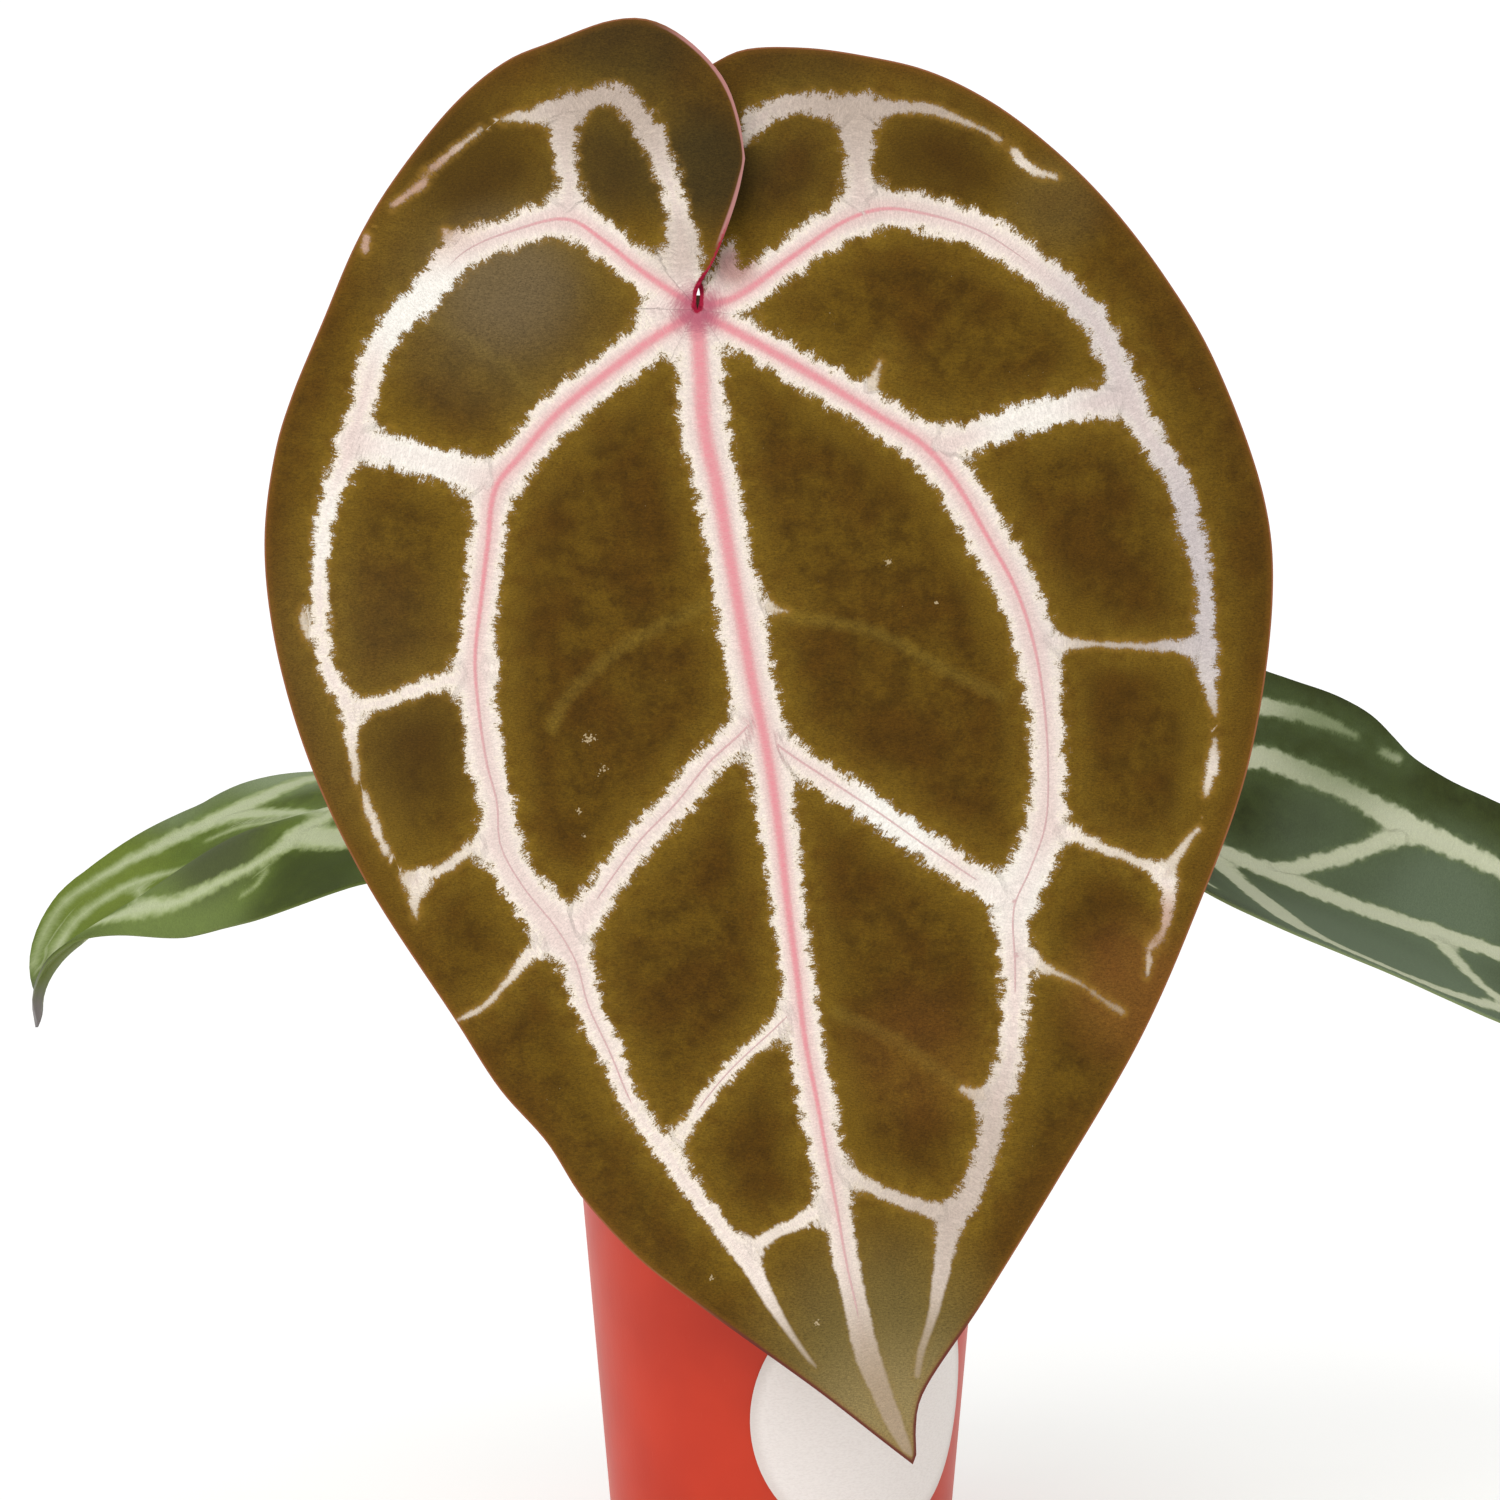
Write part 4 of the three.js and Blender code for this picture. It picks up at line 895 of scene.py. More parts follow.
# Each vein's line, with the half-width of its silver band as the third number.
FRONT_VEINS = {
    "midrib": [
        (0, -1.5, 3.1), (0.7, -12.4, 4), (1.3, -21.8, 4.5), (3.6, -32, 4), (6, -45.4, 3.8),
        (8, -56.4, 4.2), (10, -67.6, 4), (12.9, -81.4, 3.6), (15.1, -96.4, 3.3), (16.5, -108.5, 2.9),
        (18.2, -121.3, 2.9), (19.6, -132.7, 3.1), (22, -144.9, 3.3), (23.8, -155.1, 2.7),
        (25.5, -164, 2.4), (27.1, -173.1, 2.3), (28.7, -180.2, 2.1), (30.7, -189.1, 2.2),
        (33.3, -196.3, 1.8), (35.8, -202.2, 1.5), (38.5, -207.8, 0.7)],
    "left_ring": [
        (-1.3, -1.1, 2.5), (-7.8, -5.1, 3.3), (-17.6, -12.4, 3.6), (-25.5, -18.9, 3.6), (-32, -26.4, 3.6),
        (-36.7, -32.4, 3.6), (-38, -41.8, 3.3), (-39.3, -52.9, 3.1), (-40.4, -63.6, 3.1),
        (-39.6, -73.8, 3.2), (-38.2, -82.7, 3.3), (-36.4, -89.6, 2.9), (-35.8, -97.3, 3.5),
        (-31.5, -105.1, 3.6), (-25.6, -112.4, 4), (-21.8, -119.1, 2.9), (-20, -126, 2.5),
        (-15.8, -135.1, 2.2), (-11.6, -144.9, 1.8), (-7.6, -150.3, 1.6), (-2.5, -157.6, 1.8),
        (3.6, -166, 1.5), (9.6, -173.4, 1.5), (12.9, -179.6, 1.1), (17.5, -186.9, 0.5),
        (21.5, -192.3, 0.3)],
    "right_ring": [
        (1.6, -1.1, 2.4), (12, -6.7, 2.9), (22.4, -12.7, 3.1), (31.5, -18.4, 3.1), (41.3, -24.7, 3.5),
        (46.9, -31.3, 3.6), (52.9, -41.5, 3.8), (58, -50.9, 3.8), (61.3, -61.1, 3.6), (63.1, -72, 3.1),
        (63.8, -83.6, 3), (63.3, -93.6, 3.2), (60.5, -101.8, 3.7), (57.6, -108.7, 3.1),
        (57.8, -119.4, 2.5), (57.6, -129.6, 2.3), (56.5, -137.3, 2.3), (54.5, -143.6, 2.4),
        (52.7, -152.2, 2), (49.6, -160.5, 2), (46, -166.5, 2), (44.5, -174.5, 1.5), (42.7, -183.3, 0.8),
        (40.7, -189.4, 0.6), (40, -193.6, 0.5)],
    "left_outer": [
        (-1.6, 1.3, 2.5), (-10.4, 7.3, 3.1), (-16.9, 12.5, 3.3), (-23.5, 16.5, 3.5), (-33.3, 14.5, 2.9),
        (-42.5, 10.5, 2.9), (-49.6, 2.7, 2.8), (-56.9, -5.1, 2.5), (-60.5, -15.6, 2.2),
        (-62.7, -24.7, 2.4), (-66.4, -33.3, 1.8), (-68.4, -43.1, 1.5), (-68.5, -54.9, 1.4),
        (-67.1, -65.8, 1.4), (-63.4, -72, 1.5), (-62.7, -79.1, 0.9), (-62, -85.3, 0.3)],
    "left_upper": [(-23.8, 17.3, 2.5), (-23.3, 23.6, 1.9), (-24.4, 30, 2), (-24.2, 36, 2.3)],
    "left_web_1": [(-2, 0, 3), (-8, 0.2, 2.6)],
    "left_web_2": [(-2, -3.5, 2), (-4, -6.4, 1.7)],
    "right_web_1": [(3, -3.4, 1.5), (4, -4.6, 1.4)],
    "right_web_2": [(3.6, 3, 2.4), (4.9, 8, 2), (5.8, 12, 0.9)],
    "left_arc": [
        (-0.9, 2.5, 2.5), (-2.6, 8, 3.5), (-2.8, 12.5, 2.6), (-4.3, 20.9, 1.8), (-6.9, 28.2, 2.1),
        (-9.5, 33.6, 2.2), (-14, 38.4, 2), (-18.2, 39.1, 1.6), (-22.4, 37.1, 1.8), (-27.6, 35.8, 1.3),
        (-34.9, 34.9, 0.6)],
    "right_outer": [
        (2, 0.9, 2.5), (6.7, 2.2, 2.7), (18, 10.2, 3.1), (26.9, 16.2, 3.3), (33.8, 18.4, 3.4),
        (41.5, 17.5, 3.3), (51.1, 14.5, 3.1), (57.1, 10.9, 3), (64.2, 5.6, 2.7), (71.3, -0.7, 2.4),
        (75.4, -8.2, 2.4), (78.4, -16, 2.7), (83.3, -24.7, 2.2), (87.3, -30.9, 2.2), (90.2, -41.5, 2),
        (92, -48.7, 1.5), (92.4, -58.2, 1.6), (93.1, -67.3, 1.3), (93.8, -70.9, 0.7), (94.2, -73.6, 0.2)],
    "right_outer_end": [(94, -78.5, 0.4), (93.8, -82.2, 0.9), (92.9, -86.4, 0.7), (92.5, -88.2, 0.2)],
    "right_upper": [(30, 17.8, 3), (29.6, 23.3, 2.6), (29.1, 29.1, 2.6), (29.3, 36, 2.5)],
    "right_arc": [
        (8.5, 30.9, 0.7), (10, 33.6, 2), (14.2, 36.5, 2), (19.5, 37.8, 1.8), (25.1, 36.7, 2),
        (29.3, 36.2, 2.2), (35.1, 36.9, 1.3), (41.5, 36.7, 0.8), (46.9, 34.9, 0.5), (52.4, 32.5, 0.3),
        (54.7, 31.1, 0.2)],
    "right_arc_end": [(57.6, 29.1, 0.4), (59.1, 26.7, 0.9), (60.9, 25.5, 0.7), (65.3, 24.2, 0.4)],
    "left_cross_1": [(-36.4, -31.6, 3.1), (-43.1, -29.3, 3), (-53.6, -26.1, 2.9), (-62.2, -24, 3)],
    "left_cross_2": [
        (-39.8, -65.1, 2.9), (-44.5, -67.3, 1.6), (-50.4, -68.7, 1.3), (-56.7, -71.3, 1.1),
        (-61.4, -72.4, 1.3)],
    "left_cross_3": [
        (-36, -96, 1.8), (-41.3, -98.2, 0.9), (-45.8, -101.4, 0.8), (-50.7, -104, 1.1),
        (-51.4, -107.3, 0.7), (-51.1, -110.5, 0.3)],
    "left_cross_3_spur": [(-50.7, -104, 0.9), (-53.3, -102.7, 0.4)],
    "left_cross_4": [
        (-26.2, -114.5, 1.5), (-30.4, -117.4, 1.1), (-35.3, -123.1, 0.5), (-39.5, -127.1, 0.4),
        (-43.5, -129.1, 0.3)],
    "right_cross_1": [
        (43.3, -25.3, 3), (49.4, -23.2, 2.7), (56.9, -20.6, 2.5), (64.5, -18.4, 2.5), (72.4, -17, 2.7),
        (77.3, -15.8, 2.8)],
    "right_cross_2": [
        (62, -60, 2.2), (66, -60.4, 1.1), (71.8, -60.7, 0.4), (80.5, -61.1, 0.5), (86.4, -61.1, 0.9),
        (91.1, -61.4, 1.3)],
    "right_cross_3": [
        (63.3, -94.2, 2.2), (68.7, -95.4, 1.2), (74.2, -98, 0.8), (80.5, -100.4, 0.7),
        (84.9, -103.3, 1.3), (85.6, -108.2, 0.9), (84.4, -114.5, 0.3)],
    "right_cross_3_spur": [(85.6, -102.2, 0.7), (88.5, -97.4, 0.5), (91.1, -94.4, 0.3)],
    "right_cross_4": [
        (59.1, -117.3, 1.5), (64.2, -120, 0.5), (69.6, -122.5, 0.2), (75.4, -126.5, 0.4),
        (77.3, -127.6, 0.4)],
    "left_lateral_1": [
        (10.9, -73.8, 2.5), (7.8, -77.1, 2.7), (2, -82.4, 2.7), (-3.8, -89.6, 2.7), (-10.4, -96.4, 2.7),
        (-15.8, -103.6, 2.7), (-21.3, -111.8, 2.9)],
    "right_lateral_1": [
        (11.8, -76.7, 2.2), (15.8, -80, 2.4), (24.2, -85.6, 2.4), (33.3, -91.6, 2.5), (42.4, -98, 2.5),
        (51.4, -104, 2.5), (57.3, -107.6, 2.7)],
    "left_lateral_2": [
        (17.5, -127.3, 1.6), (13.8, -130.9, 1.4), (6, -138.2, 1.3), (0.5, -144.9, 1.2),
        (-3.1, -150.5, 1.1)],
    "right_lateral_2": [(25.3, -156, 1.5), (29.1, -158.2, 1.1), (36.9, -161.8, 1.1), (44.7, -164.2, 1.3)],
    "left_lateral_3": [(24.2, -162.5, 1.6), (18.2, -166, 1.1), (13.6, -168.2, 1), (10, -170.5, 1.3)],
    "spur_1": [(30.7, -16.4, 0.7), (33.3, -9.5, 0.3)],
    "spur_4": [(11, -53.2, 0.7), (13.4, -54.2, 0.5), (16.4, -54.8, 0.15)],
    "spur_2": [(53.6, -143.6, 1.1), (48.2, -141.6, 0.5)],
    "spur_3": [(-42.7, 10.9, 1.1), (-45.8, 14.2, 0.4)],
    "left_edge_1": [(-39.6, 32.7, 0.4), (-44, 29.1, 0.5), (-48.5, 25.5, 0.4)],
    "left_edge_2": [(-49.8, 23.1, 0.5), (-55.3, 18.9, 0.5)],
    "left_edge_3": [(-60, 13.3, 0.5), (-60.4, 10.9, 0.5)],
    "left_edge_4": [(-60.5, -88.5, 0.5), (-58.9, -92.9, 0.7), (-56.5, -98.7, 0.5)],
    "left_edge_5": [(-71.8, -55.3, 0.3), (-71.3, -58.7, 0.3)],
    "right_edge_1": [(82.4, -115.4, 0.3), (81.8, -120.9, 0.3)],
}
# Half-width of a vein's pink line at its start, the half-width that it thins to, the share of the
# vein's length by which it has, and the share where the hairline that runs on from there ends.
FRONT_PINK = {
    "midrib": (1.3, 0.16, 0.86, 0.87), "left_ring": (0.8, 0.13, 0.5, 0.74),
    "right_ring": (0.8, 0.15, 0.5, 0.68), "left_outer": (0.6, 0, 0.36, 0.36),
    "right_outer": (0.65, 0, 0.45, 0.45), "left_lateral_1": (0.2, 0.13, 0.8, 0.87),
    "right_lateral_1": (0.2, 0.13, 0.8, 0.87), "left_lateral_2": (0.12, 0.1, 1.0, 0.8),
}
# Veins that lie under the velvet and only lighten it a little.
FRONT_BURIED = {
    "right_1": [(11.5, -53.4), (15.8, -55.3), (29.6, -57.8), (36.9, -60.9), (44.2, -65.1), (55.1, -70.2)],
    "left_1": [(1.3, -53.6), (-12.4, -60.7), (-24.2, -71.3), (-26.2, -75.8)],
    "right_2": [(25.1, -127.6), (31.5, -130.5), (37.8, -133.6), (46.9, -140.9)],
    "left_2": [(-50, -0.5), (-46, -3), (-38.5, -7.5), (-30, -15)],
}
# The hazy, sheen and shadow colours, and the silver's grey, blue and bright ones where the tints below put
# them, are painted light and shade.
FRONT_COLORS = {
    "cell": (84, 56, 7), "cell_olive": (100, 74, 13), "cell_dark": (66, 44, 4), "halo": (122, 94, 24),
    "glow": (152, 114, 44), "edge_zone": (96, 66, 14), "buried": (134, 110, 40), "haze": (104, 86, 46),
    "rust": (118, 72, 30), "tip": (146, 128, 84), "tip_haze": (112, 98, 56), "shadow": (56, 45, 19),
    "silver": (247, 232, 221), "silver_warm": (255, 244, 222), "silver_core": (236, 214, 207),
    "silver_grey": (194, 176, 162), "silver_blue": (200, 190, 190), "silver_tan": (172, 150, 122),
    "bright": (255, 251, 242), "silver_pink": (216, 176, 158), "sheen": (112, 95, 68),
    "dust": (196, 176, 140), "pink": (233, 148, 156), "pink_hair": (216, 172, 172),
    "core": (178, 88, 110), "heart": (160, 22, 54), "margin": (150, 94, 62), "rim": (140, 90, 32),
    "tip_rim": (100, 45, 40), "lobe_edge": (186, 130, 126), "under": (150, 126, 92),
    "under_vein": (206, 176, 156),
}
# What is tinted: with which colour, round which flat place, how far and how strongly. Over the cells, the
# hazy and sheen tints are painted sheen, and the shadow tints are painted shadow. The dark tints at the tops
# of the two lobes are partly the cells' darker tone and partly painted shade.
FRONT_TINTS = {
    "cell": [
        ("haze", (-36, 2), 30, 0.6), ("haze", (-66, -70), 40, 0.2), ("rust", (80, -124), 18, 0.6),
        ("rust", (40, -136), 18, 0.25), ("tip_haze", (34, -192), 32, 0.75), ("tip", (38, -208), 28, 0.9),
        ("shadow", (1, 26), 17, 0.85), ("shadow", (-12, 50), 22, 0.6), ("shadow", (20, 46), 16, 0.35),
        ("shadow", (-17, 26), 15, 0.6), ("shadow", (20, 26), 15, 0.2), ("cell_dark", (44, 26), 18, 0.6),
        ("cell_dark", (-42, 27), 18, 0.7), ("cell_dark", (-50, -80), 16, 0.5),
        ("cell_dark", (94, -40), 34, 0.15), ("sheen", (-35, 5), 18, 0.7), ("haze", (65, 19), 13, 0.4)],
    # Over the silver, the grey tints on the upper arcs and the blue ones on the right are painted shade,
    # where the veins catch less light. The bright tints are painted highlights.
    "silver": [
        ("silver_grey", (-14, 44), 32, 1.0), ("silver_grey", (30, 46), 36, 1.0),
        ("silver_blue", (96, -48), 44, 0.85), ("silver_blue", (76, -4), 24, 0.5),
        ("bright", (60, -20), 14, 0.7), ("silver_grey", (52, -160), 34, 0.8),
        ("silver_grey", (38, -205), 34, 0.8), ("bright", (-51, 1), 18, 0.9),
        ("bright", (-50, -27), 15, 0.6), ("bright", (-67, -40), 14, 0.5),
        ("silver_tan", (74, -125), 13, 0.8), ("silver_pink", (84, -112), 9, 0.8),
        ("silver_tan", (38, -210), 44, 0.9), ("silver_grey", (-3, 12), 10, 0.6),
        ("bright", (36, -93), 15, 0.9), ("bright", (58, -106), 14, 0.5), ("lobe_edge", (7, 8), 6, 0.8),
        ("silver_pink", (-52, 22), 19, 0.95), ("silver_pink", (-61, 11), 8, 0.9)],
}
# Flecks of dust and dried water marks on the velvet: where they lie and how far they spread.
FRONT_DUST = [
    ((34.7, -46), 1.7), ((43.4, -53.3), 1.1), ((-19.6, -78), 2.6), ((-17, -83.4), 2.2), ((-21.6, -91), 1.3),
    ((-20.8, -95.6), 1.3), ((2.7, -175.8), 1.4), ((21.8, -184.2), 1.6), ((-36, -152), 1.2), ((52, -20), 1.0),
]


def nearest_vein(flat, side, veins, pink=None):
    """For each flat point: the foot on its nearest vein, that vein's half-widths there, and the distance.

    Above the stalk the two lobes overlap, so each lobe's points take only their own side's veins.
    Inside is the distance to the silver's edge, below 0 in it, with the veins' corners filled in. A web
    is a place between veins that only adds to this."""
    count = len(flat)
    best = np.full(count, VEIN_NOT_FOUND)
    blend = np.zeros(count)
    foot = np.zeros((count, 2))
    half = np.zeros(count)
    pink_half = np.zeros(count)
    reach = np.full(count, VEIN_FAR)
    for name, points in veins.items():
        line = curve_through(points, VEIN_STEPS)
        share = lengths_along(line[:, :2])
        share = share / share[-1]
        start, end, part, last = (pink or {}).get(name, (0, 0, 1, 1))
        pink_line = np.maximum(start + (end - start) * share / part, end) * (share < last)
        low, high = line[:, :2].min(0) - VEIN_SEARCH, line[:, :2].max(0) + VEIN_SEARCH
        near = np.all((flat > low) & (flat < high), axis=1)
        own_side = {"left": side < 0, "right": side > 0}.get(name.split("_")[0])
        if own_side is not None:
            near &= (flat[:, 1] <= 0) | own_side
        chosen = np.nonzero(near)[0]
        for first in range(0, len(chosen), POINTS_AT_ONCE):
            picked = chosen[first:first + POINTS_AT_ONCE]
            point = flat[picked][:, None]
            begin, run = line[None, :-1, :2], np.diff(line[:, :2], axis=0)[None]
            at = np.clip(((point - begin) * run).sum(2) / (run ** 2).sum(2), 0, 1)
            feet = begin + run * at[..., None]
            distance = np.hypot(*np.moveaxis(point - feet, 2, 0))
            widths = line[None, :-1, 2] + np.diff(line[:, 2])[None] * at
            score = distance - widths
            k = score.argmin(1)
            row = np.arange(len(picked))
            blend[picked] += np.exp(-score[row, k] / VEIN_BLEND)
            if "web" in name:
                continue
            better = score[row, k] < best[picked]
            to, row, k = picked[better], row[better], k[better]
            best[to] = score[row, k]
            foot[to] = feet[row, k]
            half[to] = widths[row, k]
            reach[to] = distance[row, k]
            pink_half[to] = pink_line[k] + (pink_line[k + 1] - pink_line[k]) * at[row, k]
    inside = np.where(blend > NO_BLEND, -VEIN_BLEND * np.log(np.maximum(blend, NO_BLEND)), CELL_FAR)
    return {"foot": foot, "half": half, "pink": pink_half, "reach": reach, "inside": inside}


def blade_object(name, outline, rays, rings, place, veins, pink, buried, material, sizes):
    """A closed blade as a fan of rays from the stalk's joint to the outline, with its markings' values."""
    left_edge, right_edge = (
        along(line, np.linspace(0, lengths_along(line)[-1], rays // 2 + 1))
        for line in map(curve_through, outline))
    edge = np.concatenate([left_edge, right_edge[1:]])
    ray_side = np.linspace(-1, 1, rays + 1)
    shares = np.arange(1, rings + 1) / rings
    flat = np.concatenate([[[0, 0]], (edge[None] * shares[:, None, None]).reshape(-1, 2)])
    side = np.concatenate([[0], np.tile(ray_side, rings)])
    share = np.concatenate([[0], np.repeat(shares, rays + 1)])
    fields = nearest_vein(flat, side, veins, pink)
    points = place(flat[:, 0], flat[:, 1], side, share)

    grid = np.concatenate([np.repeat(points[:1], rays + 1, axis=0)[None],
                           points[1:].reshape(rings, rays + 1, 3)])
    out = np.cross(np.gradient(grid, axis=0), np.gradient(grid, axis=1))
    out[0] = out[1].mean(0)
    out /= np.linalg.norm(out, axis=2, keepdims=True)
    normal = np.concatenate([out[:1, 0], out[1:].reshape(-1, 3)])
    sinus = np.linspace(0, 1, SINUS_STEPS)[:-1, None]
    margins = {}
    for key, line in (("left", left_edge), ("right", right_edge[::-1])):
        line = np.concatenate([sinus * line[0], line[::MARGIN_STRIDE], line[-1:]])
        margins[key] = np.c_[line, np.zeros(len(line))]
    margin = nearest_vein(flat, side, margins)["reach"]
    puff = sizes["puff"] * smooth(fields["inside"], 0, PUFF_GROWTH) * smooth(margin, 0, PUFF_MARGIN)
    from_rib = fields["reach"] / (fields["half"] + RELIEF_SPREAD)
    relief = sizes["relief"] * (1 - RELIEF_THINNING * share) * np.exp(-from_rib ** 2)
    relief = relief * smooth(fields["half"], *RELIEF_HALF_WIDTHS) * smooth(margin, 0, RELIEF_MARGIN)
    sheet = sizes["edge"] + (sizes["thickness"] - sizes["edge"]) * smooth(margin, 0, EDGE_TAPER)
    front = points + normal * puff[:, None]
    back = points - normal * (sheet + relief - PUFF_ON_BACK * puff)[:, None]

    def at(ring, i):
        return 0 if ring == 0 else 1 + (ring - 1) * (rays + 1) + i

    faces = []
    for i in range(rays):
        faces.append((0, at(1, i), at(1, i + 1)))
        for ring in range(1, rings):
            faces.append((at(ring, i), at(ring + 1, i), at(ring + 1, i + 1), at(ring, i + 1)))
    loop = [at(rings, i) for i in range(rays, 0, -1)] + [at(ring, 0) for ring in range(rings, 0, -1)]
    loop += [at(ring, rays) for ring in range(rings)]
    piece = closed_sheet(name, front * MM, back * MM, faces, loop, material)

    count = len(points)
    on_edge = np.tile((share == 1) | (abs(side) == 1), 2)
    edges = np.zeros(len(piece.data.edges) * 2, int)
    piece.data.edges.foreach_get("vertices", edges)
    edges = edges.reshape(-1, 2)
    same_face = (edges[:, 0] < count) == (edges[:, 1] < count)
    sharp = on_edge[edges].all(1) & same_face
    piece.data.attributes.new("sharp_edge", "BOOLEAN", "EDGE").data.foreach_set("value", sharp)

    buried = {key: [(*point, BURIED_HALF_WIDTH) for point in line] for key, line in buried.items()}
    numbers = {**{key: fields[key] for key in ("half", "pink", "reach", "inside")}, "margin": margin,
               "buried": nearest_vein(flat, side, buried)["reach"], "side": side}
    mark(piece, "flat", np.tile(np.c_[flat, side], (2, 1)), "FLOAT_VECTOR")
    mark(piece, "foot", np.tile(np.c_[fields["foot"], side], (2, 1)), "FLOAT_VECTOR")
    for key, values in numbers.items():
        mark(piece, key, np.tile(values, 2))
    mark(piece, "under", np.repeat([0.0, 1.0], count))
    return piece


STREAK_SHARE = 0.26
WILD_ABOVE_TIP = (-182, -150)
TIP_RIM_REACH = (-176, -188)
VELVET_DEPTH = 0.16 * MM


def leaf_finish(name, colors, tints, dust, fringe, wander, grain, softness, faint, **constants):
    """Leaf skin: cells between fringed veins, a pink line in the veins, a thin margin and the underside.

    A tint lays one of the colours over the cells, the silver or the underside round a flat place. The
    flecks of dust lie round the given places."""
    skin = Finish(name, **constants)
    tone = {key: shade(*value) for key, value in colors.items()}
    flat = skin.attribute("flat", "Vector")
    foot = skin.attribute("foot", "Vector")
    half, reach, inside, margin, side = (
        skin.attribute(key) for key in ("half", "reach", "inside", "margin", "side"))

    def away(x, y):
        """The distance from a flat place."""
        return skin.vector("DISTANCE", skin.vector("MULTIPLY", flat, (1, 1, 0)), (x, y, 0))

    def laid(color, *layers):
        """The colour with layers of named colours over it."""
        return skin.layered(color, *[(cover, tone[key]) for cover, key in layers])

    def tinted(layer, color):
        return laid(color, *[(away(*spot).rise(radius, radius * 0.25) * strength, key)
                             for key, spot, radius, strength in tints.get(layer, ())])

    near = skin.vector("DISTANCE", flat, foot)
    far_share = reach.rise(1.8, 3.2)
    distance = near * (1 - far_share) + reach * far_share
    exact = distance - half
    thin = half.rise(2.2, 1.4)
    inside = inside + (exact.maths("MINIMUM", inside) - inside) * thin

    streaks = skin.vector("ADD", foot, skin.vector("SCALE", flat, Scale=STREAK_SHARE))
    bend = skin.noise(flat, 0.4, 2).rise(0.28, 0.72) - 0.5
    fringes = skin.noise(streaks, 2.4, 3, 0.65).rise(0.28, 0.72) - 0.5
    specks = skin.noise(flat, 2.6, 3, 0.75).rise(0.3, 0.7) - 0.5
    grains = skin.noise(flat, 5.0, 2, 0.7).rise(0.32, 0.68) - 0.5
    up = skin.node("ShaderNodeSeparateXYZ", {}, {0: flat}, "Y")
    wild = up.rise(*WILD_ABOVE_TIP) * 0.8 + 0.2
    room = (half.rise(0, 2.4) * 0.75 + 0.25) * wild
    ragged = inside + (bend * wander + (fringes * 1.3 + specks * 0.8 + grains * 0.8) * fringe) * room
    silver = ragged.rise(softness, -softness) * (half.rise(0.2, 1.4) * faint + (1 - faint))
    rim = ragged.rise(-1.4, -0.2) * wild
    glow = ragged.rise(1.5, 0.1) * wild
    halo = inside.rise(8.0, 0.3)

    cloud = skin.noise(flat, 0.06, 4, 0.6)
    patch = skin.noise(flat, 0.26, 3, 0.6)
    nap = skin.noise(skin.stretched(flat, (0.6, 1.7, 1)), 2.5, 3, 0.75)
    buried = (skin.attribute("buried") + patch * 2.4).rise(3.4, 1.0)
    cell = tinted("cell", laid(
        tone["cell"], (cloud.rise(0.36, 0.64), "cell_olive"), (patch.rise(0.36, 0.72) * 0.7, "cell_dark"),
        (halo * (patch.rise(0.25, 0.75) * 0.75 + 0.25), "halo"), (margin.rise(9.0, 0.5) * 0.4, "edge_zone"),
        (buried * 0.36, "buried")))
    cell = skin.color(
        1.0, cell, 1 + (nap - 0.5) * (grain * 2.4) + (specks + grains) * (grain * 0.45), "MULTIPLY")
    cell = laid(cell, (glow * (fringes * 0.9 + 0.45), "glow"), (margin.rise(1.7, 0.4) * 0.25, "rim"))

    hairs = skin.noise(streaks, 2.4, 3, 0.75).rise(0.3, 0.7)
    dots = skin.noise(flat, 2.7, 3, 0.8).rise(0.32, 0.68)
    motes = skin.noise(flat, 2.4, 1)
    cell = laid(cell, *[((motes + away(*spot).rise(spread, 0) * 0.4).rise(0.84, 0.92) * 0.75, "dust")
                        for spot, spread in dust])
    band = tinted("silver", laid(
        tone["silver"], (inside.rise(-0.8, -2.6) * 0.8, "silver_core"), (rim * 0.6, "silver_warm")))
    speckle = 1.15 - (1 - hairs) * (0.03 + grain * 0.22) - (1 - dots) * (0.02 + grain * 0.3)
    band = skin.color(1.0, band, speckle, "MULTIPLY")

    pink_half = skin.attribute("pink")
    line = distance / pink_half.maths("MAXIMUM", 0.04)
    pink = (line + specks * 0.5).rise(1.7, 0.2) * pink_half.rise(0.02, 0.08)
    pink_halo = distance.rise(2.6, 0.1) * pink_half.rise(0.1, 0.7) * 0.4
    pink_tone = skin.color(pink_half.rise(0.14, 0.4), tone["pink_hair"], tone["pink"])
    band = skin.layered(band, (pink_halo, tone["pink"]), (pink * (0.85 + fringes * 0.3), pink_tone))
    color = skin.color(silver, cell, band)

    middle = away(0, 0)
    heart_width = middle.rise(9.0, 2.5) * up.rise(-1.6, 1.6) * 1.1 + 0.24
    heart = (margin - heart_width + specks * 0.3).rise(0.3, -0.15) * middle.rise(19.0, 12.0)
    inner = side.rise(-0.91, -0.935) * margin.rise(0.85, 0.5) * middle.rise(11.0, 15.0)
    plain_edge = (1 - inner) * (1 - heart) * (0.35 + patch)
    color = laid(
        color, ((middle + fringes * 1.6).rise(6.6, 1.8) * 0.85, "core"), (inner * 0.9, "lobe_edge"),
        (heart, "heart"), (margin.rise(0.42, 0.15) * plain_edge, "margin"),
        (margin.rise(0.8, 0.3) * up.rise(*TIP_RIM_REACH) * 0.9, "tip_rim"))

    below = tinted("under", laid(
        skin.color(cloud, tone["under"], skin.color(0.35, tone["under"], tone["cell"])),
        ((distance - half * 0.55).rise(0.5, -0.3), "under_vein")))
    skin.feed("Base Color", skin.color(skin.attribute("under"), color, below))
    skin.feed("Roughness", 0.66 - silver * 0.16 + nap * 0.1)
    skin.bump(nap * 0.3 + silver * 0.35 + hairs * silver * 0.5 + pink * 0.5, VELVET_DEPTH)
    return skin.material


front_profile = curve_through(FRONT_PROFILE)


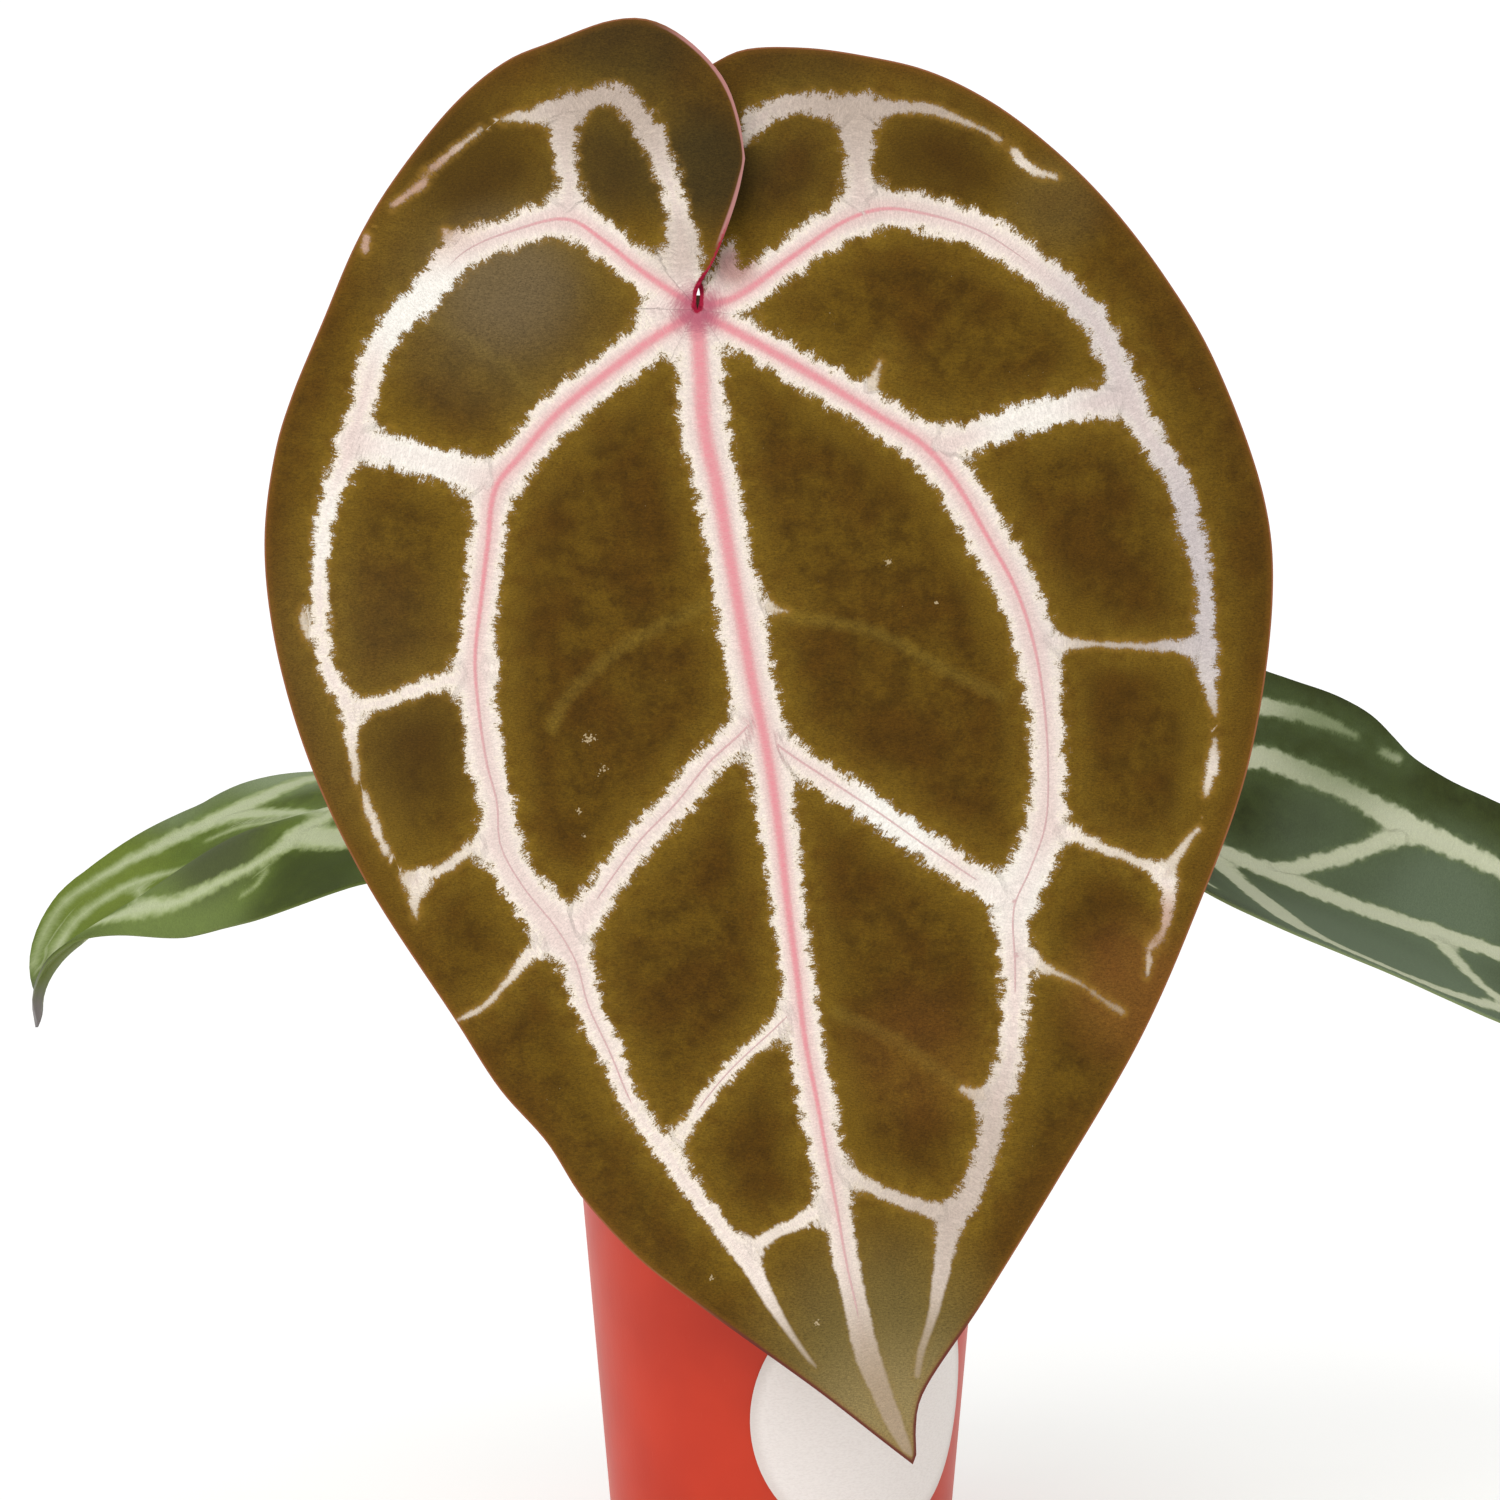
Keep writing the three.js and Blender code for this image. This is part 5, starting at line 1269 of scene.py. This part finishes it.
def place_front(a, b, side, share):
    """The front blade in space. Seen from the view point, it keeps the flat drawing's outline."""
    radius = np.hypot(a, b)
    notch = np.sign(side) * smooth(abs(side), *NOTCH_SHARES)
    turn = -notch * NOTCH_OPENING * np.exp(-(radius / NOTCH_SIZE) ** 2)
    across = a * np.cos(turn) - b * np.sin(turn)
    across = across + SINUS_BULGE * np.sin(math.pi * share ** 1.8) * smooth(-side, 0.9, 1)
    up = a * np.sin(turn) + b * np.cos(turn)
    from_rib = across + FRONT_RIB_LEAN * up
    lobe = np.sign(side) * smooth(abs(side), *LOBE_SHARES) * smooth(radius, 0, LOBE_REACH) * LOBE_OFFSET
    fold = np.where(from_rib > 0, RIGHT_FOLD[0] * (from_rib / RIGHT_FOLD[1]) ** 2,
                    LEFT_FOLD[0] * (from_rib / LEFT_FOLD[1]) ** 2)
    wave = FRONT_WAVE * share ** 5 * np.sin(side * FRONT_WAVE_PACE + 0.7)
    wave = wave * (1 - smooth(abs(side), 0.8, 1)) * smooth(abs(side), 0, 0.16)
    set_back = np.interp(-up, -front_profile[:, 0], front_profile[:, 1])
    depth = FRONT_LEAF_Y + set_back + fold + lobe + wave
    scale = (VIEW_DISTANCE + depth) / (VIEW_DISTANCE + FRONT_LEAF_Y)
    return np.stack([
        VIEW_SIDE + (FRONT_JUNCTION[0] + across - VIEW_SIDE) * scale, depth,
        VIEW_HEIGHT + (FRONT_JUNCTION[1] + up - VIEW_HEIGHT) * scale], axis=1)


velvet = leaf_finish(
    "leaf_velvet_brown", FRONT_COLORS, FRONT_TINTS, FRONT_DUST, fringe=0.84, wander=1.3, grain=0.6,
    softness=0.36, faint=0.45, Specular_IOR_Level=0.1)
front_leaf = blade_object(
    "leaf_front", FRONT_OUTLINE, FRONT_RAYS, FRONT_RINGS, place_front, FRONT_VEINS, FRONT_PINK, FRONT_BURIED,
    velvet, {"puff": CELL_PUFF, "relief": VEIN_RELIEF, "thickness": BLADE_THICKNESS, "edge": BLADE_EDGE})
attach(front_leaf, "root")
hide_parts("blade_front")

# Side leaves: two older leaves of the same kind, turned green and firm, with pale green veins. The left
# one arches out and curls down at its drawn-out tip, and the right one lies more open.
LEFT_TIP = (0, -137)
RIGHT_TIP = (0, -122)
LEFT_LOBE = [(3, 12), (7, 25), (18, 35), (32, 32), (43, 18), (48, -2), (48, -28), (44, -52)]
LEFT_NEAR = [*LEFT_LOBE, (36.6, -73), (26.1, -91), (14.5, -105), (7, -116), (1.6, -127), (0.8, -134)]
LEFT_FAR = [*LEFT_LOBE, (38.1, -73), (31.6, -91), (27.2, -104), (24, -113), (19.3, -121), (11, -128.5),
            (4, -133.5)]
RIGHT_NEAR = [(3, 12), (7, 23), (17, 33), (31, 29), (42, 14), (47, -6), (46, -28), (41, -50), (35, -70),
              (25, -90), (14, -107), (4, -118)]
RIGHT_FAR = [(3, 12), (7, 24), (18, 33), (33, 29), (45, 14), (50, -2), (52.3, -15), (53, -25),
             (51.3, -33.5), (47.2, -41), (43, -47.5), (40.4, -54), (39, -60.5), (38.4, -67), (37.6, -74),
             (29, -91), (15, -108), (4, -118)]
SIDE_WAVE = 1.3
SIDE_WAVE_PACE = 16
SIDE_RAYS = 240
SIDE_RINGS = 90
SIDE_SIZES = {"puff": 0.55, "relief": 0.9, "thickness": 0.6, "edge": 0.3}
LEFT_VEINS = {
    "midrib": [(0, 0, 2.2), (0, -30, 2.3), (4, -46, 2), (6, -55, 1.8)],
    "far_fork": [(6, -55, 1.8), (-6, -61.5, 1.7), (-13.5, -66, 1.8), (-19.5, -73, 2), (-25, -80, 2.2)],
    "far_thin": [(11, -56, 0.7), (0, -62.5, 0.7), (-9.5, -68.5, 0.8), (-16, -77, 0.7), (-18, -84.5, 0.4)],
    "far_ring": [
        (0, 0, 2), (-20, -12, 2), (-31, -36, 2), (-36, -60, 2.2), (-32, -67, 2.6), (-27.5, -73, 3),
        (-26, -82, 2.6), (-25, -89, 2.4), (-23.5, -96, 1.8), (-22.3, -104, 1.2), (-21, -111, 0.9),
        (-18.8, -118, 0.7), (-13, -126, 0.5)],
    "near_ring": [
        (0, 0, 2), (16, -10, 2.4), (26, -30, 2.6), (24, -48, 3), (18.5, -57, 3.6), (15.5, -61.5, 3.2),
        (17.5, -66, 2), (19, -72.5, 1.4), (18.5, -80, 1.5), (17, -87, 1.6), (15.5, -92, 1.8),
        (11.7, -98, 1.8), (8.8, -104.5, 1.5), (3, -111.5, 1.1), (-6, -118, 0.7)],
    "near_fork": [(4, -46, 1.8), (10, -53, 1.6), (14.5, -61, 2)],
    "tip_band": [
        (-11, -92, 0.5), (-13.8, -98, 1), (-15.2, -105, 1), (-14.8, -111, 0.9), (-13, -118, 0.9),
        (-9, -124.5, 1), (-4, -130.5, 0.7), (-1, -135, 0.4)],
    "near_lateral": [(-12, -102, 0.9), (-8, -101.5, 0.6), (7, -99.8, 0.6), (11.5, -99, 1.1)],
    "near_faint": [(23, -70, 0.3), (25.5, -72.5, 0.35), (26, -77, 0.2)],
    "far_lateral": [(-1, -36, 1.8), (-16, -46, 1.6), (-33, -56, 1.8)],
    "far_outer": [(-4, 2, 1.8), (-28, 8, 1.8), (-40, -10, 1.6), (-42, -38, 1.4), (-38, -60, 1)],
    "near_outer": [(4, 2, 1.8), (28, 8, 1.8), (39, -8, 1.6), (40, -34, 1.3), (37, -46, 0.6)],
    "far_upper": [(-1, 3, 1.8), (-8, 18, 1.8), (-20, 24, 1.5), (-32, 16, 1)],
    "near_upper": [(1, 3, 1.8), (8, 18, 1.8), (20, 24, 1.5), (32, 16, 1)],
    "far_cross": [(-31, -36, 1.4), (-36, -38, 1), (-42, -38, 1.2)],
    "near_cross": [(26, -30, 1.5), (33, -32, 1), (39, -33, 1.2)],
}
RIGHT_VEINS = {
    "midrib": [
        (0, 0, 2.4), (-0.5, -12, 2.7), (-0.5, -29, 2.9), (0, -42, 2.8), (0.5, -54, 2.8), (1, -74, 2.6),
        (1, -96, 1.6), (0, -119, 0.5)],
    "far_ring": [
        (0, 0, 2), (18, -4, 2.2), (28.5, -12, 2.6), (29.5, -22.5, 2.7), (29, -35.5, 2.5),
        (26.5, -48.5, 3), (25.5, -60, 2.5), (24, -72, 2), (17, -92, 1.4), (6, -112, 0.6)],
    "near_ring": [
        (0, -6, 2), (-10, -13, 3.4), (-24, -18.5, 5), (-35, -23.5, 4.8), (-39, -31, 2.6), (-39, -38, 2.3),
        (-34.5, -52, 2.3), (-26, -71, 2.1), (-16, -92, 1.3), (-5, -112, 0.6)],
    "far_lateral_1": [(0, -22, 2), (11, -34, 1.8), (17, -41, 1.8), (24, -49, 2)],
    "near_lateral_1": [(0, -60, 1.8), (-10, -65, 1.6), (-17.5, -69, 1.5), (-24, -76, 1.5)],
    "far_lateral_2": [(1, -78, 1.4), (10, -86, 1.2), (19, -90, 1.3)],
    "far_outer": [
        (4, 2, 2), (24, 10, 2), (38, 0, 2.1), (42, -10.5, 2.2), (44, -18, 1.9), (44.5, -27, 1.2),
        (44, -32, 0.6)],
    "far_outer_end": [(42, -40, 0.9), (41.5, -44, 0.8)],
    "near_outer": [(-4, 2, 1.9), (-24, 9, 2), (-34, 2, 1.6), (-38, -6, 0.8)],
    "far_upper": [(1, 3, 1.8), (8, 17, 1.8), (20, 22, 1.5), (32, 16, 1)],
    "near_upper": [(-1, 3, 1.8), (-8, 16, 1.8), (-19, 21, 1.5), (-30, 15, 1)],
}
RIGHT_COLORS = {
    "cell": (54, 62, 20), "cell_olive": (64, 76, 34), "cell_dark": (44, 50, 15), "halo": (78, 92, 52),
    "glow": (118, 132, 88), "edge_zone": (84, 90, 44), "buried": (84, 96, 54), "haze": (108, 123, 97),
    "silver": (204, 208, 176), "silver_warm": (196, 202, 168), "silver_core": (206, 210, 180),
    "pink": (198, 204, 166), "pink_hair": (198, 204, 166), "core": (186, 176, 140),
    "heart": (150, 110, 84), "margin": (110, 80, 60), "rim": (92, 92, 50), "tip_rim": (110, 80, 60),
    "lobe_edge": (128, 120, 80), "under": (146, 158, 104), "under_vein": (182, 190, 140),
}
LEFT_COLORS = {
    **RIGHT_COLORS, "cell": (66, 78, 14), "cell_olive": (88, 104, 28), "cell_dark": (54, 66, 12),
    "halo": (100, 120, 42), "glow": (128, 144, 78), "edge_zone": (98, 118, 40), "haze": (112, 129, 67),
    "shadow": (74, 82, 46), "pale": (150, 164, 130), "yellow": (114, 130, 48), "tip": (140, 134, 138),
    "rim": (112, 126, 78), "margin": (134, 144, 116), "silver": (180, 190, 146),
    "silver_warm": (160, 174, 118), "silver_core": (186, 194, 156), "under": (110, 124, 66),
    "under_vein": (150, 160, 110),
}
# The hazy tints on the side leaves are painted sheen, and the left leaf's shadow tint is painted shadow.
RIGHT_TINTS = {
    "cell": [("haze", (-34, -46), 60, 0.9), ("haze", (16, -32), 20, 0.35), ("haze", (10, -62), 26, 0.8)],
    "silver": [("glow", (44, -30), 27, 0.85)],
}
LEFT_TINTS = {
    "cell": [
        ("haze", (24, -96), 34, 0.8), ("shadow", (12, -80), 16, 0.9), ("pale", (-44, -66), 24, 0.75),
        ("pale", (-38, -92), 16, 0.5), ("yellow", (-20, -108), 22, 0.8),
        ("cell_dark", (32, -56), 26, 0.8), ("tip", (0, -137), 18, 0.9)],
    "under": [("tip", (0, -137), 11, 0.9)],
    "silver": [("tip", (0, -137), 22, 0.9)],
}
TILT_SHARES = (0.2, 0.5, 0.7, 0.85, 1)
TILT_SLICES = 8
FULL_TILT_REACH = 16
SPINE_STEP = 0.004


def side_leaf(spine, right, junction_share, rib_tilt, tilt_right, tilt_left, wave_phase):
    """Bends a flat leaf over its spine. Each half has its own tilt in degrees, from the stalk to the tip."""
    line = curve_through(spine)
    length = lengths_along(line)[-1]
    right = np.array(right, float)

    def place(a, b, side, share):
        at = np.clip(junction_share - b / length, 0, 1)
        centre = along(line, at * length)
        tangent = along(line, (at + SPINE_STEP) * length) - along(line, (at - SPINE_STEP) * length)
        tangent /= np.linalg.norm(tangent, axis=1, keepdims=True)
        across = right - tangent * (tangent @ right)[:, None]
        across /= np.linalg.norm(across, axis=1, keepdims=True)
        up = np.cross(tangent, across)
        outer = np.radians(np.where(
            a > 0, np.interp(at, TILT_SHARES, tilt_right), np.interp(at, TILT_SHARES, tilt_left)))
        middle = math.radians(rib_tilt) * np.where(a > 0, 1, -1)
        reach, rise = 0, 0
        for i in range(TILT_SLICES):
            tilt = middle + (outer - middle) * smooth(
                abs(a) * (i + 0.5) / TILT_SLICES, 0, FULL_TILT_REACH)
            reach = reach + np.cos(tilt) * abs(a) / TILT_SLICES
            rise = rise + np.sin(tilt) * abs(a) / TILT_SLICES
        rise = rise + SIDE_WAVE * share ** 4 * np.sin(side * SIDE_WAVE_PACE + wave_phase)
        return centre + across * (np.sign(a) * reach)[:, None] + up * rise[:, None]

    return place


def heart(right_half, left_half, tip):
    return [[*[(-a, b) for a, b in left_half], tip], [tip, *right_half[::-1]]]


place_left = side_leaf(
    [(0, 12, 158), (-20, 12, 161.5), (-40, 12, 162), (-68, 12, 160.5), (-95, 12, 155.3), (-113.5, 12, 148.8),
     (-127.8, 12, 140), (-140, 12, 132.2), (-147.5, 12, 126.9), (-152.9, 12, 121.4), (-155.5, 11, 116),
     (-155.4, 10, 108.8)],
    (0, -1, 0), 0.224, 0, (-20, -29, -39, -50, -58), (-7, 8, 26, 54.5, 100), 0.4)
place_right = side_leaf(
    [(49, 24, 158), (68, 25, 155), (85.8, 25, 149.7), (96.1, 25, 145.4), (111.5, 25, 138.8),
     (123.1, 25, 134), (135.1, 25, 129.6), (145.8, 25, 126), (154.2, 25, 123), (175.8, 25, 113.7),
     (194, 24, 100)],
    (0, 1, 0), 0.234, 31.5, (60.5, 61.6, 62.5, 63.2, 64), (-6, -12.7, -18.1, -22.4, -27), 2.2)
for name, outline, place, veins, colors, tints, softness in (
        ("left", heart(LEFT_NEAR, LEFT_FAR, LEFT_TIP), place_left, LEFT_VEINS, LEFT_COLORS, LEFT_TINTS, 1.0),
        ("right", heart(RIGHT_FAR, RIGHT_NEAR, RIGHT_TIP), place_right, RIGHT_VEINS, RIGHT_COLORS,
         RIGHT_TINTS, 0.6)):
    finish = leaf_finish(
        f"leaf_green_{name}", colors, tints, [], fringe=0.09, wander=0.9, grain=0.24, softness=softness,
        faint=0.4, Specular_IOR_Level=0.22)
    leaf = blade_object(
        f"leaf_{name}", outline, SIDE_RAYS, SIDE_RINGS, place, veins, {}, {}, finish, SIDE_SIZES)
    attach(leaf, "root")
    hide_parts(f"blade_{name}")
